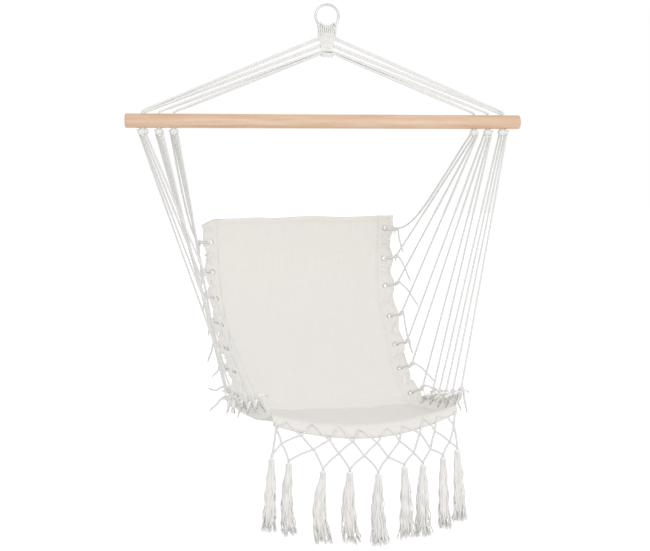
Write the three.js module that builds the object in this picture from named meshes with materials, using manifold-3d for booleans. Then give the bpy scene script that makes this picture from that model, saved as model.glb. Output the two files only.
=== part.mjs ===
// Hammock chair: a padded canvas sling that hangs by cords from a wooden bar and a steel ring.
// Millimetres, +Z up. X runs along the bar, and the sitter faces -Y.
// The origin is the inside top of the ring, where the hook bears.
import * as THREE from "three";
import { mergeVertices } from "three/addons/utils/BufferGeometryUtils.js";
import Module from "manifold-3d";

const wasm = await Module();
wasm.setup();

// Clearances
const touchGap = 0.3;
const cutOverrun = 2;

// Ring of round steel wire
const ringInnerR = 26;
const ringWireR = 3;
const ringSegments = 28;
const ringSides = 8;

// Lashing: the cord that is laid round the lower part of the ring
const lashCordR = 1.8;
const lashTurns = 9;
const lashSteps = 8;
const lashSides = 5;
const lashArc = THREE.MathUtils.degToRad(90);

// Clew: the cords below the ring, gathered to a last knot
const clewStart = 62.6;
const clewThroatHeight = 7;
const clewHeight = 42;
const clewTopHalfWidth = 22;
const clewEndHalfWidth = 15.5;
const clewHalfDepth = 5.5;
const clewStrands = 9;
const clewLevels = 4;
const clewPointsPerStrand = 2;
const clewKnotHalfWidth = 16.5;
const clewKnotHalfDepth = 9;
const clewKnotHalfHeight = 7;

// Spreader bar: a round beech rod with three holes near each end
const barLength = 1000;
const barR = 17.5;
const barAxisDrop = 284;
const barChamfer = 2.5;
const barSides = 24;
const barHoleR = 5;
const barHoleSides = 12;
const barHoleFromEnd = [43, 83, 119];

// Cords
const cordR = 2;
const cordSides = 5;
const pairSides = 6;
const pairSpacing = 3.4;
const pairBendHeight = 4;
const pairBendStep = 2;
// Pairs of upper cords in each hole, from the outer hole inwards: [drop where the pair leaves the
// clew, which way it goes down beside the hole's axis]
const pairsInHole = [
  [[80, 1], [98, -1]],
  [[110, 0]],
  [[118.5, 0]],
];

// Knots below the bar
const barKnotHalfWidth = [14, 11, 11];
const barKnotHalfDepth = 11.5;
const barKnotHalfHeight = 9;
const barKnotNest = 0.2;
const barKnotSwingClear = 0.2;
const ropePitchAtKnot = 5.4;
const ropeStartClear = 1.9;

// Sling profile at its side seams, from the top of the back to the front edge of the seat
const backReach = 352;
const backTopDrop = 535;
const seatReach = 406;
const seatDrop = 998;
const frontRise = 41;
const hemHeight = 26;
const hemBend = 12;
const topHalfWidth = 222;
const backBulge = 30;
const creaseSag = 8;
const frontSag = 27;
const cornerLift = { "-1": 10, 1: 24 };
const cornerLiftFrom = 0.93;
const slingStepShare = 0.001;

// Layers of the sling
const canvasThickness = 1.2;
const padThickness = 8.5;
const padRamp = 55;
const padCorner = 6;
const waddingAcross = 6;
const waddingAlong = 24;
const waddingInset = 9;

// Eyelet strips along both sides
const stripWidth = 42;
const stripThickness = 2.2;
const stripScallop = 6;
const eyeletCount = 12;
const eyeletFromRoot = 18;
const eyeletHoleR = 4.5;
const eyeletRimR = 8.5;
const eyeletRimHeight = 0.9;
const eyeletSides = 8;

// Ties: each lower rope goes through its eyelet, is knotted at the strip's edge and ends in a tail
const tieKnotR = 4.6;
const tieBeyondEdge = 6;
const tieLoopHalfHeight = 7.5;
const tieLoopSteps = 8;
const tieLoopSides = 4;
const tieLoopOpenShare = 0.25;
const ropesPerKnot = 4;
const tailLength = 52;
const tailBendShare = 0.6;
const tailR = 1.8;
const slackRopeStandOff = 6;

// Fringe net and tassels
const netCordR = 1.5;
const netCordSides = 3;
const netKnotR = 3.4;
const netHalfWidth = 219;
const netHeight = 130;
const netLipShare = 0.4;
const tasselLength = 166;
const tasselCapR = 4;
const tasselNeckR = 7.5;
const tasselNeckHeight = 16;
const tasselWaistR = 6.5;
const tasselHalfWidth = 21;
const tasselSideGap = 1.5;
const tasselLobes = 8;
const tasselFluteShare = 0.12;
const tasselDepthShare = 0.6;
const tasselSkirtLevel = 2;

// Sling profile as shares: [of the reach to the back or the front, of the rise from seat to top]
const backProfileShares = [
  [1, 1],
  [1.015, 0.86],
  [1.005, 0.74],
  [0.955, 0.617],
  [0.85, 0.502],
  [0.7, 0.378],
  [0.46, 0.226],
  [0.19, 0.09],
  [0.05, 0.018],
];
const seatProfileShares = [
  [0.06, 0],
  [0.25, 0.012],
  [0.55, 0.03],
  [0.82, 0.065],
];
// Half width of the sling at equal steps from top to front, as shares of the half width at the top
const halfWidthShares = [1, 0.985, 0.963, 0.94, 0.905, 0.995, 1.01, 0.99, 0.97];
// Where each side's eyelets sit, as shares of the sling's length from its top edge
const eyeletShares = {
  "-1": [0.061, 0.139, 0.215, 0.297, 0.379, 0.464, 0.548, 0.627, 0.706, 0.785, 0.864, 0.943],
  1: [0.03, 0.108, 0.184, 0.278, 0.374, 0.463, 0.556, 0.633, 0.711, 0.788, 0.866, 0.943],
};
// How far each strip is folded up from the sling's face, in degrees, at equal steps from top to front
const stripFoldDegrees = {
  "-1": [16, 24, 28, 30, 36, 54, 64, 62],
  1: [48, 20, 14, 14, 26, 52, 64, 62],
};
// Tail of each tie: [outwards, down] as shares of the tail length
const tailShares = {
  "-1": [
    [0.12, 0.75], [0.1, 0.6], [0.15, 0.5], [0.12, 0.5],
    [0.36, 0.6], [0.45, 0.3], [0.75, -0.1], [0.7, 0.38],
    [0.36, 0.77], [0.2, 0.93], [0.1, 0.6], [0.05, 0.5],
  ],
  1: [
    [0.38, 0.95], [0.7, 1], [1, 0.95], [0.33, 1.1],
    [0.25, 0.4], [1.05, 0.7], [0.9, 0.1], [0.6, 0.6],
    [0.7, 0.5], [0.4, 0.8], [0.65, 0.6], [0.5, 0.75],
  ],
};
// How far the slack top rope hangs below a straight line, as shares of its span from bar to tie
const slackRopeShares = [0, 0.008, 0.024, 0.042, 0.06, 0.075, 0.078, 0.055, 0];
// Stitches of the net in the front hem: [across, distance from the front edge as a share of the hem]
const netStitchShares = [
  [-0.86, 0.69],
  [-0.58, 1],
  [-0.29, 1.12],
  [-0.07, 0.81],
  [0.23, 0.77],
  [0.4, 0.65],
  [0.63, 0.88],
  [0.78, 0.54],
];
// Knots of the net: [across, down], shares of its half width and of its height
const netUpperShares = [
  [-0.955, 0.17],
  [-0.69, 0.3],
  [-0.39, 0.4],
  [-0.14, 0.45],
  [0.12, 0.49],
  [0.36, 0.47],
  [0.575, 0.34],
  [0.74, 0.32],
  [0.945, 0.22],
];
const netLowerShares = [
  [-0.895, 0.44],
  [-0.56, 0.56],
  [-0.29, 0.65],
  [-0.02, 0.71],
  [0.235, 0.75],
  [0.51, 0.69],
  [0.695, 0.64],
  [0.9, 0.52],
];
const netEndShares = [
  [-1, 0.65],
  [-0.82, 0.74],
  [-0.46, 0.91],
  [-0.175, 0.94],
  [0.13, 1],
  [0.41, 0.89],
  [0.61, 0.87],
  [0.83, 0.75],
  [0.985, 0.63],
];

// Places worked out from the sizes above
const ringR = ringInnerR + ringWireR;
const ringCentre = new THREE.Vector3(0, 0, -ringInnerR);
const barTop = -barAxisDrop + barR;
const barBottom = -barAxisDrop - barR;
const barKnotTop = barBottom + barKnotNest;
const barKnotZ = barKnotTop - barKnotHalfHeight;
const clewTop = -clewStart - clewThroatHeight - touchGap;
const clewEnd = clewTop - clewHeight;
const clewKnotZ = clewEnd - touchGap - clewKnotHalfHeight;
const slingEdge = 2 * canvasThickness + touchGap;
const hemZ = -seatDrop + frontRise;
const netTop = hemZ;
const netY = -seatReach - slingEdge / 2 - touchGap - netKnotR;

const sideNames = { "-1": "left", 1: "right" };
const holeNames = ["outer", "middle", "inner"];

const finishes = {
  steel: { color: 0xb9bbbd, roughness: 0.3, metalness: 1 },
  beech: { color: 0xe2c6aa, roughness: 0.6, metalness: 0 },
  cotton: { color: 0xe6e2dc, roughness: 0.95, metalness: 0 },
  canvas: { color: 0xe8e5df, roughness: 0.95, metalness: 0 },
  wadding: { color: 0xf4f3f0, roughness: 1, metalness: 0 },
};

const chair = new THREE.Group();

// Adds a geometry to the chair as a named piece with its own material.
function addPiece(name, geometry, finish) {
  const mesh = new THREE.Mesh(geometry, new THREE.MeshStandardMaterial(finishes[finish]));
  mesh.name = name;
  chair.add(mesh);
  return mesh;
}

// A route through given points, which a tube follows with one ring at each point.
class Route extends THREE.Curve {
  constructor(points) {
    super();
    this.points = points;
  }
  getPoint(t) {
    const last = this.points.length - 1;
    const i = Math.min(Math.floor(t * last), last - 1);
    return this.points[i].clone().lerp(this.points[i + 1], t * last - i);
  }
  getPointAt(t) {
    return this.getPoint(t);
  }
  getTangentAt(t) {
    const last = this.points.length - 1;
    const i = Math.round(t * last);
    const before = this.points[Math.max(i - 1, 0)];
    const after = this.points[Math.min(i + 1, last)];
    return after.clone().sub(before).normalize();
  }
}

// A closed tube along the points, its section a regular polygon.
function tube(points, radius, sides) {
  const section = new THREE.Shape();
  for (let k = 0; k < sides; k++) {
    const turn = (2 * Math.PI * k) / sides;
    const x = radius * Math.cos(turn);
    const y = radius * Math.sin(turn);
    if (k === 0) section.moveTo(x, y);
    else section.lineTo(x, y);
  }
  section.closePath();
  const path = new Route(points);
  return new THREE.ExtrudeGeometry(section, {
    steps: points.length - 1,
    extrudePath: path,
    bevelEnabled: false,
  });
}

// The geometry as a solid that can be joined and cut.
function solidOf(geometry) {
  const bare = geometry.clone();
  bare.deleteAttribute("normal");
  bare.deleteAttribute("uv");
  const merged = mergeVertices(bare);
  return new wasm.Manifold(
    new wasm.Mesh({
      numProp: 3,
      vertProperties: new Float32Array(merged.attributes.position.array),
      triVerts: new Uint32Array(merged.index.array),
    }),
  );
}

// The solid's surface as a geometry.
function geometryOf(solid) {
  const mesh = solid.getMesh();
  const geometry = new THREE.BufferGeometry();
  const position = new THREE.BufferAttribute(new Float32Array(mesh.vertProperties), 3);
  geometry.setAttribute("position", position);
  geometry.setIndex(new THREE.BufferAttribute(new Uint32Array(mesh.triVerts), 1));
  geometry.computeVertexNormals();
  return geometry;
}

function join(geometries) {
  return geometries.map(solidOf).reduce((whole, part) => whole.add(part));
}

// A closed surface over rings of equal count, each end closed at its middle.
function loft(rings) {
  const count = rings[0].length;
  const points = rings.flat();
  const index = [];
  for (let r = 0; r < rings.length - 1; r++) {
    for (let k = 0; k < count; k++) {
      const a = r * count + k;
      const b = r * count + ((k + 1) % count);
      index.push(a, a + count, b, b, a + count, b + count);
    }
  }
  const middle = (ring) =>
    ring.reduce((sum, p) => sum.add(p), new THREE.Vector3()).divideScalar(count);
  const first = points.push(middle(rings[0])) - 1;
  const last = points.push(middle(rings[rings.length - 1])) - 1;
  const lastRing = (rings.length - 1) * count;
  for (let k = 0; k < count; k++) {
    const next = (k + 1) % count;
    index.push(first, k, next);
    index.push(last, lastRing + next, lastRing + k);
  }
  return new THREE.BufferGeometry().setFromPoints(points).setIndex(index);
}

// Equal steps from one value to another, both included.
function steps(from, to, count) {
  return Array.from({ length: count + 1 }, (_, i) => THREE.MathUtils.lerp(from, to, i / count));
}

// A closed sheet between two surfaces, each a function of (across, along), at the given stations.
function sheet(upper, lower, acrossStations, alongStations) {
  const points = [];
  for (const surface of [upper, lower]) {
    for (const v of alongStations) {
      for (const u of acrossStations) points.push(surface(u, v));
    }
  }
  const across = acrossStations.length - 1;
  const along = alongStations.length - 1;
  const row = across + 1;
  const under = row * (along + 1);
  const index = [];
  const quad = (a, b, c, d) => index.push(a, b, c, a, c, d);
  for (let j = 0; j < along; j++) {
    for (let i = 0; i < across; i++) {
      const a = j * row + i;
      quad(a, a + row, a + row + 1, a + 1);
      quad(under + a, under + a + 1, under + a + row + 1, under + a + row);
    }
    const left = j * row;
    const right = left + across;
    quad(left, under + left, under + left + row, left + row);
    quad(right, right + row, under + right + row, under + right);
  }
  for (let i = 0; i < across; i++) {
    const end = along * row + i;
    quad(i, i + 1, under + i + 1, under + i);
    quad(end, under + end, under + end + 1, end + 1);
  }
  return new THREE.BufferGeometry().setFromPoints(points).setIndex(index);
}

// A lumpy knot: a ball of flat facets, stretched to its half sizes.
function knot(centre, halfWidth, halfDepth, halfHeight, detail) {
  const ball = new THREE.IcosahedronGeometry(1, detail);
  ball.scale(halfWidth, halfDepth, halfHeight);
  ball.translate(centre.x, centre.y, centre.z);
  return ball;
}

// Value of a table of equal steps at a share from 0 to 1.
function between(table, share) {
  const place = THREE.MathUtils.clamp(share, 0, 1) * (table.length - 1);
  const i = Math.min(Math.floor(place), table.length - 2);
  return THREE.MathUtils.lerp(table[i], table[i + 1], place - i);
}

function addRing() {
  const ring = new THREE.TorusGeometry(ringR, ringWireR, ringSides, ringSegments);
  ring.rotateX(Math.PI / 2);
  ring.translate(ringCentre.x, ringCentre.y, ringCentre.z);
  addPiece("hanging_ring", ring, "steel");
}

// The lashing winds round the ring's wire. Its flat steps stay clear of the wire.
function addLashing() {
  const windR = (ringWireR + touchGap + lashCordR) / Math.cos(Math.PI / lashSteps);
  const count = lashTurns * lashSteps;
  const points = [];
  for (let i = 0; i <= count; i++) {
    const turn = (2 * Math.PI * i) / lashSteps;
    const along = lashArc * (i / count - 1 / 2);
    const out = new THREE.Vector3(Math.sin(along), 0, -Math.cos(along));
    const place = ringCentre.clone().addScaledVector(out, ringR + windR * Math.cos(turn));
    place.y = windR * Math.sin(turn);
    points.push(place);
  }
  addPiece("ring_lashing", tube(points, lashCordR, lashSides), "cotton");
  let nearest = Infinity;
  points.forEach((p, i) => {
    for (const q of points.slice(i + lashSteps / 2)) nearest = Math.min(nearest, p.distanceTo(q));
  });
  console.log("least gap of the lashing to itself:", (nearest - 2 * lashCordR).toFixed(2), "mm");
}

// One level of the flat bundle of cords, its outline fluted by the strands.
function clewRing(z, halfWidth) {
  const ring = [];
  const count = clewStrands * clewPointsPerStrand;
  for (const face of [-1, 1]) {
    for (let i = 0; i < count; i++) {
      const share = (i + 1 / 2) / count;
      const x = -face * halfWidth * (2 * share - 1);
      const flute = i % clewPointsPerStrand ? 1 : 1 - lashCordR / clewHalfDepth / 2;
      const round = Math.sqrt(1 - (2 * share - 1) ** 2 / 2);
      ring.push(new THREE.Vector3(x, face * clewHalfDepth * flute * round, z));
    }
  }
  return ring;
}

function addClew() {
  const throatEnd = -clewStart - clewThroatHeight;
  const throat = loft([
    clewRing(-clewStart, clewTopHalfWidth),
    clewRing(throatEnd, clewTopHalfWidth),
  ]);
  addPiece("clew_throat", throat, "cotton");
  const rings = [];
  for (let i = 0; i <= clewLevels; i++) {
    const share = i / clewLevels;
    rings.push(clewRing(clewTop - clewHeight * share, clewHalfWidth(share)));
  }
  addPiece("clew", loft(rings), "cotton");
  const centre = new THREE.Vector3(0, 0, clewKnotZ);
  const ball = knot(centre, clewKnotHalfWidth, clewKnotHalfDepth, clewKnotHalfHeight, 1);
  addPiece("clew_knot", ball, "cotton");
}

function holeX(side, hole) {
  return side * (barLength / 2 - barHoleFromEnd[hole]);
}

function addBar() {
  const half = barLength / 2;
  const profile = [
    [0, -half],
    [barR - barChamfer, -half],
    [barR, -half + barChamfer],
    [barR, half - barChamfer],
    [barR - barChamfer, half],
    [0, half],
  ].map(([r, along]) => new THREE.Vector2(r, along));
  const rod = new THREE.LatheGeometry(profile, barSides);
  rod.rotateZ(-Math.PI / 2);
  rod.translate(0, 0, -barAxisDrop);
  let bar = solidOf(rod);
  for (const side of [-1, 1]) {
    for (let hole = 0; hole < barHoleFromEnd.length; hole++) {
      const height = 2 * (barR + cutOverrun);
      const drill = new THREE.CylinderGeometry(barHoleR, barHoleR, height, barHoleSides);
      drill.rotateX(Math.PI / 2);
      drill.translate(holeX(side, hole), 0, -barAxisDrop);
      bar = bar.subtract(solidOf(drill));
    }
  }
  addPiece("spreader_bar", geometryOf(bar), "beech");
}

// Half width of the clew at a share of its height. Its outermost strands end just inside it.
function clewHalfWidth(share) {
  const narrow = THREE.MathUtils.smoothstep(share, 0, 1);
  return THREE.MathUtils.lerp(clewTopHalfWidth, clewEndHalfWidth, narrow);
}

// Where the side of the clew, or of its last knot, is at the drop where a pair of cords leaves.
function clewSideX(drop) {
  const share = (-drop - clewTop) / -clewHeight;
  if (share <= 1) return clewHalfWidth(share) * (1 - 1 / (clewStrands * clewPointsPerStrand));
  const off = (-drop - clewKnotZ) / clewKnotHalfHeight;
  return clewKnotHalfWidth * Math.sqrt(1 - off * off);
}

// One upper cord, from the clew down through its hole in the bar. Two of them make a pair. Where
// two pairs share a hole, each pair is spread where it leaves the clew, and the higher pair goes
// down at the hole's outer side.
function upperCord(side, hole, exit, lean, sign) {
  const spread = (sign * pairSpacing) / 2;
  const x = holeX(side, hole) + (side * lean * pairSpacing) / 2;
  const start = new THREE.Vector3(side * clewSideX(exit), spread, -exit);
  start.z += Math.abs(lean) * spread;
  const bend = new THREE.Vector3(x, spread, barTop + pairBendHeight + lean * pairBendStep);
  const slope = bend.clone().sub(start).normalize();
  start.x += side * (touchGap - cordR * slope.z);
  return tube([
    start,
    bend.clone().addScaledVector(slope, -pairBendHeight),
    bend.clone().addScaledVector(slope, -cordR),
    bend.clone().setZ(barTop + cordR),
    bend.clone().setZ(barTop - cordR),
    bend.clone().setZ(barKnotTop + touchGap + barKnotSwingClear),
  ], cordR, pairSides);
}

function addUpperCords(side, hole) {
  const cords = pairsInHole[hole].flatMap(([exit, lean]) =>
    [-1, 1].map((sign) => upperCord(side, hole, exit, lean, sign)));
  addPiece(`upper_cords_${sideNames[side]}_${holeNames[hole]}`, geometryOf(join(cords)), "cotton");
}

function barKnotCentre(side, hole) {
  return new THREE.Vector3(holeX(side, hole), 0, barKnotZ);
}

function addBarKnot(side, hole) {
  const centre = barKnotCentre(side, hole);
  const ball = knot(centre, barKnotHalfWidth[hole], barKnotHalfDepth, barKnotHalfHeight, 1);
  addPiece(`bar_knot_${sideNames[side]}_${holeNames[hole]}`, ball, "cotton");
}

// The sling's side profile as one curve, from the top of the back to the front edge.
function slingProfile() {
  const rise = seatDrop - backTopDrop;
  const at = (y, z) => new THREE.Vector3(0, y, z);
  return new THREE.CatmullRomCurve3([
    ...backProfileShares.map(([y, z]) => at(y * backReach, -seatDrop + z * rise)),
    ...seatProfileShares.map(([y, z]) => at(-y * seatReach, -seatDrop + z * rise)),
    at(-seatReach + hemBend, hemZ),
    at(-seatReach, hemZ - hemBend),
    at(-seatReach, hemZ - hemHeight),
  ], false, "centripetal");
}
const profile = slingProfile();
const slingLength = profile.getLength();

// Share of the length, from the top, at which the back turns into the seat.
const creaseShare = (() => {
  let share = 0;
  while (profile.getPointAt(share).y > 0) share += slingStepShare;
  return share;
})();

function halfWidthAt(along) {
  return topHalfWidth * between(halfWidthShares, along);
}

// The unloaded sling bulges back behind the sitter, lies flat at the crease and sags at the front.
function slack(along) {
  const seatward = THREE.MathUtils.smoothstep(along, creaseShare / 2, creaseShare);
  const frontward = THREE.MathUtils.smoothstep(along, creaseShare, 1);
  const down = THREE.MathUtils.lerp(creaseSag, frontSag, frontward) * seatward;
  return new THREE.Vector3(0, backBulge * (1 - seatward), -down);
}

// Middle of the sling, with across from -1 to 1 and along from 0 to 1. Its front corners are lifted.
function slingPoint(across, along) {
  const place = profile.getPointAt(along);
  place.x = across * halfWidthAt(along);
  const lift = cornerLift[across < 0 ? -1 : 1] * across * across;
  place.z += lift * THREE.MathUtils.smoothstep(along, cornerLiftFrom, 1);
  return place.addScaledVector(slack(along), 1 - across * across);
}

// Unit direction out of the sling towards the sitter.
function slingNormal(across, along) {
  const low = Math.max(along - slingStepShare, 0);
  const high = Math.min(along + slingStepShare, 1);
  const down = slingPoint(across, high).sub(slingPoint(across, low));
  const from = slingPoint(across - slingStepShare, along);
  const right = slingPoint(across + slingStepShare, along).sub(from);
  return down.cross(right).normalize();
}

// Whole thickness of the sling: padded in the middle, flat at its hems and seams.
function slingThickness(across, along) {
  const fromEnd = Math.min(along, 1 - along) * slingLength - hemHeight / 2;
  const ends = THREE.MathUtils.smoothstep(fromEnd, 0, padRamp);
  const crown = 1 - Math.abs(across) ** padCorner;
  return slingEdge + (padThickness - slingEdge) * ends * crown;
}

// A point on one face of the sling, or as far below that face as the inset says.
function slingLayer(side, inset, across, along) {
  const height = slingThickness(across, along) / 2 - inset;
  const normal = slingNormal(across, along);
  return slingPoint(across, along).addScaledVector(normal, side * height);
}

function addSling() {
  const layer = (side, inset) => (u, v) => slingLayer(side, inset, u, v);
  const edge = 1 - waddingInset / topHalfWidth;
  const end = (hemHeight + waddingInset) / slingLength;
  const innerAcross = steps(-edge, edge, waddingAcross);
  const innerAlong = steps(end, 1 - end, waddingAlong);
  const across = [-1, ...innerAcross, 1];
  const along = [0, end / 2, ...innerAlong, 1 - end / 2, 1];
  const shy = canvasThickness + touchGap;
  addPiece("front_canvas", sheet(layer(1, 0), layer(1, canvasThickness), across, along), "canvas");
  addPiece("back_canvas", sheet(layer(-1, canvasThickness), layer(-1, 0), across, along), "canvas");
  addPiece("wadding", sheet(layer(1, shy), layer(-1, shy), innerAcross, innerAlong), "wadding");
}

// Frame of an eyelet strip at a share of the length: its root and three directions.
function stripFrame(side, along) {
  const tangent = profile.getTangentAt(along);
  const fold = THREE.MathUtils.degToRad(between(stripFoldDegrees[side], along));
  const face = new THREE.Vector3(0, tangent.z, -tangent.y);
  const out = new THREE.Vector3(side * Math.cos(fold), 0, 0);
  out.addScaledVector(face, Math.sin(fold)).normalize();
  const normal = out.clone().cross(tangent).multiplyScalar(-side).normalize();
  const root = slingPoint(side, along);
  root.x += side * (stripThickness / 2 + touchGap);
  return { root, out, normal, tangent };
}

// The strips end where the front edge of the seat turns down.
const stripEnd = 1 - (hemHeight + hemBend) / slingLength;

function eyeletCentre(side, number) {
  const { root, out } = stripFrame(side, eyeletShares[side][number]);
  return root.addScaledVector(out, eyeletFromRoot);
}

// Stations of a strip: its top, every eyelet, the places between two eyelets, and its front end.
function stripStations(side) {
  const places = eyeletShares[side];
  const stations = [[0, stripWidth]];
  places.forEach((place, number) => {
    stations.push([place, stripWidth]);
    const next = places[number + 1];
    // The strip draws in between its eyelets, where no rope pulls it out.
    if (next) stations.push([(place + next) / 2, stripWidth - stripScallop]);
  });
  stations.push([stripEnd, stripWidth - stripScallop / 2]);
  return stations;
}

// A canvas strip along one side of the sling, with its pressed metal eyelets.
function addStrip(side) {
  const stations = stripStations(side);
  const reachAt = new Map(stations);
  const surface = (lift) => (u, v) => {
    const { root, out, normal } = stripFrame(side, v);
    return root.addScaledVector(out, u * reachAt.get(v)).addScaledVector(normal, lift);
  };
  const half = stripThickness / 2;
  const across = side > 0 ? [0, 1] : [1, 0];
  const along = stations.map(([place]) => place);
  let strip = solidOf(sheet(surface(half), surface(-half), across, along));
  const rimHeight = stripThickness + 2 * eyeletRimHeight;
  for (let number = 0; number < eyeletCount; number++) {
    const { out, normal } = stripFrame(side, eyeletShares[side][number]);
    const turn = new THREE.Quaternion().setFromUnitVectors(new THREE.Vector3(0, 1, 0), normal);
    const centre = eyeletCentre(side, number);
    const place = new THREE.Matrix4().compose(centre, turn, new THREE.Vector3(1, 1, 1));
    const rim = new THREE.CylinderGeometry(eyeletRimR, eyeletRimR, rimHeight, eyeletSides);
    rim.applyMatrix4(place);
    const height = rimHeight + 2 * cutOverrun;
    const hole = new THREE.CylinderGeometry(eyeletHoleR, eyeletHoleR, height, eyeletSides);
    hole.applyMatrix4(place);
    strip = strip.add(solidOf(rim)).subtract(solidOf(hole));
  }
  addPiece(`eyelet_strip_${sideNames[side]}`, geometryOf(strip), "canvas");
}

// Where a lower rope is knotted, just outside the edge of its strip.
function tiePoint(side, number) {
  const { out } = stripFrame(side, eyeletShares[side][number]);
  const reach = stripWidth - eyeletFromRoot + tieBeyondEdge;
  return eyeletCentre(side, number).addScaledVector(out, reach);
}

// Where a lower rope leaves its knot below the bar: four side by side, the foremost last.
function ropeStart(side, number) {
  const hole = holeNames.length - 1 - Math.floor(number / ropesPerKnot);
  const y = ((ropesPerKnot - 1) / 2 - (number % ropesPerKnot)) * ropePitchAtKnot;
  const under = barKnotHalfHeight * Math.sqrt(1 - (y / barKnotHalfDepth) ** 2);
  return barKnotCentre(side, hole).add(new THREE.Vector3(0, y, -under - ropeStartClear));
}

// The slack rope at the top corner hangs in a curve, and every other rope is straight.
function ropeRoute(side, number) {
  const start = ropeStart(side, number);
  const tie = tiePoint(side, number);
  if (number > 0) return [start, tie];
  const span = start.distanceTo(tie);
  return slackRopeShares.map((sag, i) => {
    const share = i / (slackRopeShares.length - 1);
    const point = start.clone().lerp(tie, share);
    point.z -= sag * span;
    point.x += side * slackRopeStandOff * 4 * share * (1 - share);
    return point;
  });
}

// A lower rope is one cord: its straight run, the knot, the loop through its eyelet and the tail.
function addRope(side, number) {
  const { out, normal } = stripFrame(side, eyeletShares[side][number]);
  const eyelet = eyeletCentre(side, number);
  const tie = tiePoint(side, number);
  const loopHalf = eyelet.distanceTo(tie) / 2;
  const loop = [];
  for (let i = 0; i <= tieLoopSteps; i++) {
    const share = (i + tieLoopOpenShare) / (tieLoopSteps + 2 * tieLoopOpenShare);
    const turn = 2 * Math.PI * share;
    const point = eyelet.clone().addScaledVector(out, loopHalf * (1 + Math.cos(turn)));
    loop.push(point.addScaledVector(normal, tieLoopHalfHeight * Math.sin(turn)));
  }
  const [outShare, downShare] = tailShares[side][number];
  const away = new THREE.Vector3(side * outShare * tailLength, 0, 0);
  const down = new THREE.Vector3(0, 0, -downShare * tailLength);
  const tail = [
    tie,
    tie.clone().addScaledVector(away, tailBendShare).addScaledVector(down, tailBendShare ** 2),
    tie.clone().add(away).add(down),
  ];
  const rope = join([
    tube(ropeRoute(side, number), cordR, cordSides),
    knot(tie, tieKnotR, tieKnotR, tieKnotR, 0),
    tube(loop, tailR, tieLoopSides),
    tube(tail, tailR, tieLoopSides),
  ]);
  const label = String(number + 1).padStart(2, "0");
  addPiece(`rope_${sideNames[side]}_${label}`, geometryOf(rope), "cotton");
}

function netPlace([across, down]) {
  return new THREE.Vector3(across * netHalfWidth, netY, netTop - down * netHeight);
}

// A place just over the outside of the hem, at a distance from the front edge.
function overHem(across, fromEdge) {
  return slingLayer(1, -netKnotR - touchGap, across, 1 - fromEdge / slingLength);
}

// The net is knotted from one cord: stitches in the hem, two rows of knots, and the tassel knots.
function addNet() {
  const stitches = netStitchShares.map(([across, up]) => overHem(across, up * hemHeight));
  const upper = netUpperShares.map(netPlace);
  const lower = netLowerShares.map(netPlace);
  const ends = netEndShares.map(netPlace);
  const cord = (from, to) => tube([from, to], netCordR, netCordSides);
  const parts = [];
  const face = hemHeight - hemBend;
  netStitchShares.forEach(([across, up], k) => {
    for (const knot of [upper[k], upper[k + 1]]) {
      // A stitch above the flat face of the hem has its cords bent over the hem's lip.
      const lip = THREE.MathUtils.lerp(across, knot.x / halfWidthAt(1), netLipShare);
      const over = up * hemHeight > face + netCordR ? [overHem(lip, face)] : [];
      parts.push(tube([stitches[k], ...over, knot], netCordR, netCordSides));
    }
  });
  lower.forEach((p, k) => {
    parts.push(cord(upper[k], p), cord(upper[k + 1], p));
    parts.push(cord(p, ends[k]), cord(p, ends[k + 1]));
  });
  for (const [corner, end] of [[upper[0], ends[0]], [upper.at(-1), ends.at(-1)]]) {
    parts.push(cord(corner, end));
  }
  for (const p of [...stitches, ...upper, ...lower, ...ends]) {
    parts.push(new THREE.OctahedronGeometry(netKnotR).translate(p.x, p.y, p.z));
  }
  addPiece("fringe_net", geometryOf(join(parts)), "cotton");
  return ends;
}

// Rings of a tassel: a cap, a bound neck and a fluted skirt that flares to its cut end.
function addTassel(top, number, halfWidth) {
  const start = netKnotR + touchGap;
  const levels = [
    [start, tasselCapR],
    [start + tasselCapR, tasselNeckR],
    [start + tasselNeckHeight, tasselNeckR],
    [start + tasselNeckHeight + tasselCapR, tasselWaistR],
    [tasselLength / 2, (tasselWaistR + halfWidth) / 2],
    [tasselLength, halfWidth],
  ];
  const count = 2 * tasselLobes;
  const rings = levels.map(([drop, radius], level) => {
    const skirt = level > tasselSkirtLevel;
    const flat = (level - tasselSkirtLevel) / (levels.length - 1 - tasselSkirtLevel);
    const ring = [];
    for (let k = 0; k < count; k++) {
      const turn = (2 * Math.PI * k) / count;
      const flute = skirt && k % 2 ? 1 - tasselFluteShare : 1;
      const depth = skirt ? THREE.MathUtils.lerp(1, tasselDepthShare, flat) : 1;
      const r = radius * flute;
      const x = top.x + r * Math.cos(turn);
      ring.push(new THREE.Vector3(x, top.y + depth * r * Math.sin(turn), top.z - drop));
    }
    return ring;
  });
  addPiece(`tassel_${number}`, loft(rings), "cotton");
}

addRing();
addLashing();
addClew();
addBar();
for (const side of [-1, 1]) {
  for (let hole = 0; hole < barHoleFromEnd.length; hole++) {
    addUpperCords(side, hole);
    addBarKnot(side, hole);
  }
}
addSling();
for (const side of [-1, 1]) {
  addStrip(side);
  for (let number = 0; number < eyeletCount; number++) addRope(side, number);
}
const tasselTops = addNet();
tasselTops.forEach((top, k) => {
  const gaps = [tasselTops[k - 1], tasselTops[k + 1]]
    .filter(Boolean)
    .map((other) => Math.abs(other.x - top.x) / 2 - tasselSideGap);
  addTassel(top, k + 1, Math.min(tasselHalfWidth, ...gaps));
});

export default chair;
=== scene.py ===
"""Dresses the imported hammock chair: its canvas sling, cords, bar, ring, net and tassels.

Sizes are in millimetres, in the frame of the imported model: +Z up, X along the bar, the sitter faces
-Y, and the origin is the inside top of the ring. Meshes turn to metres where they are made.
"""

import logging
from dataclasses import dataclass, field
from enum import Enum
from math import asin, ceil, copysign, cos, hypot, pi, radians, sin, sqrt
from typing import Callable, Iterable, Sequence

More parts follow.
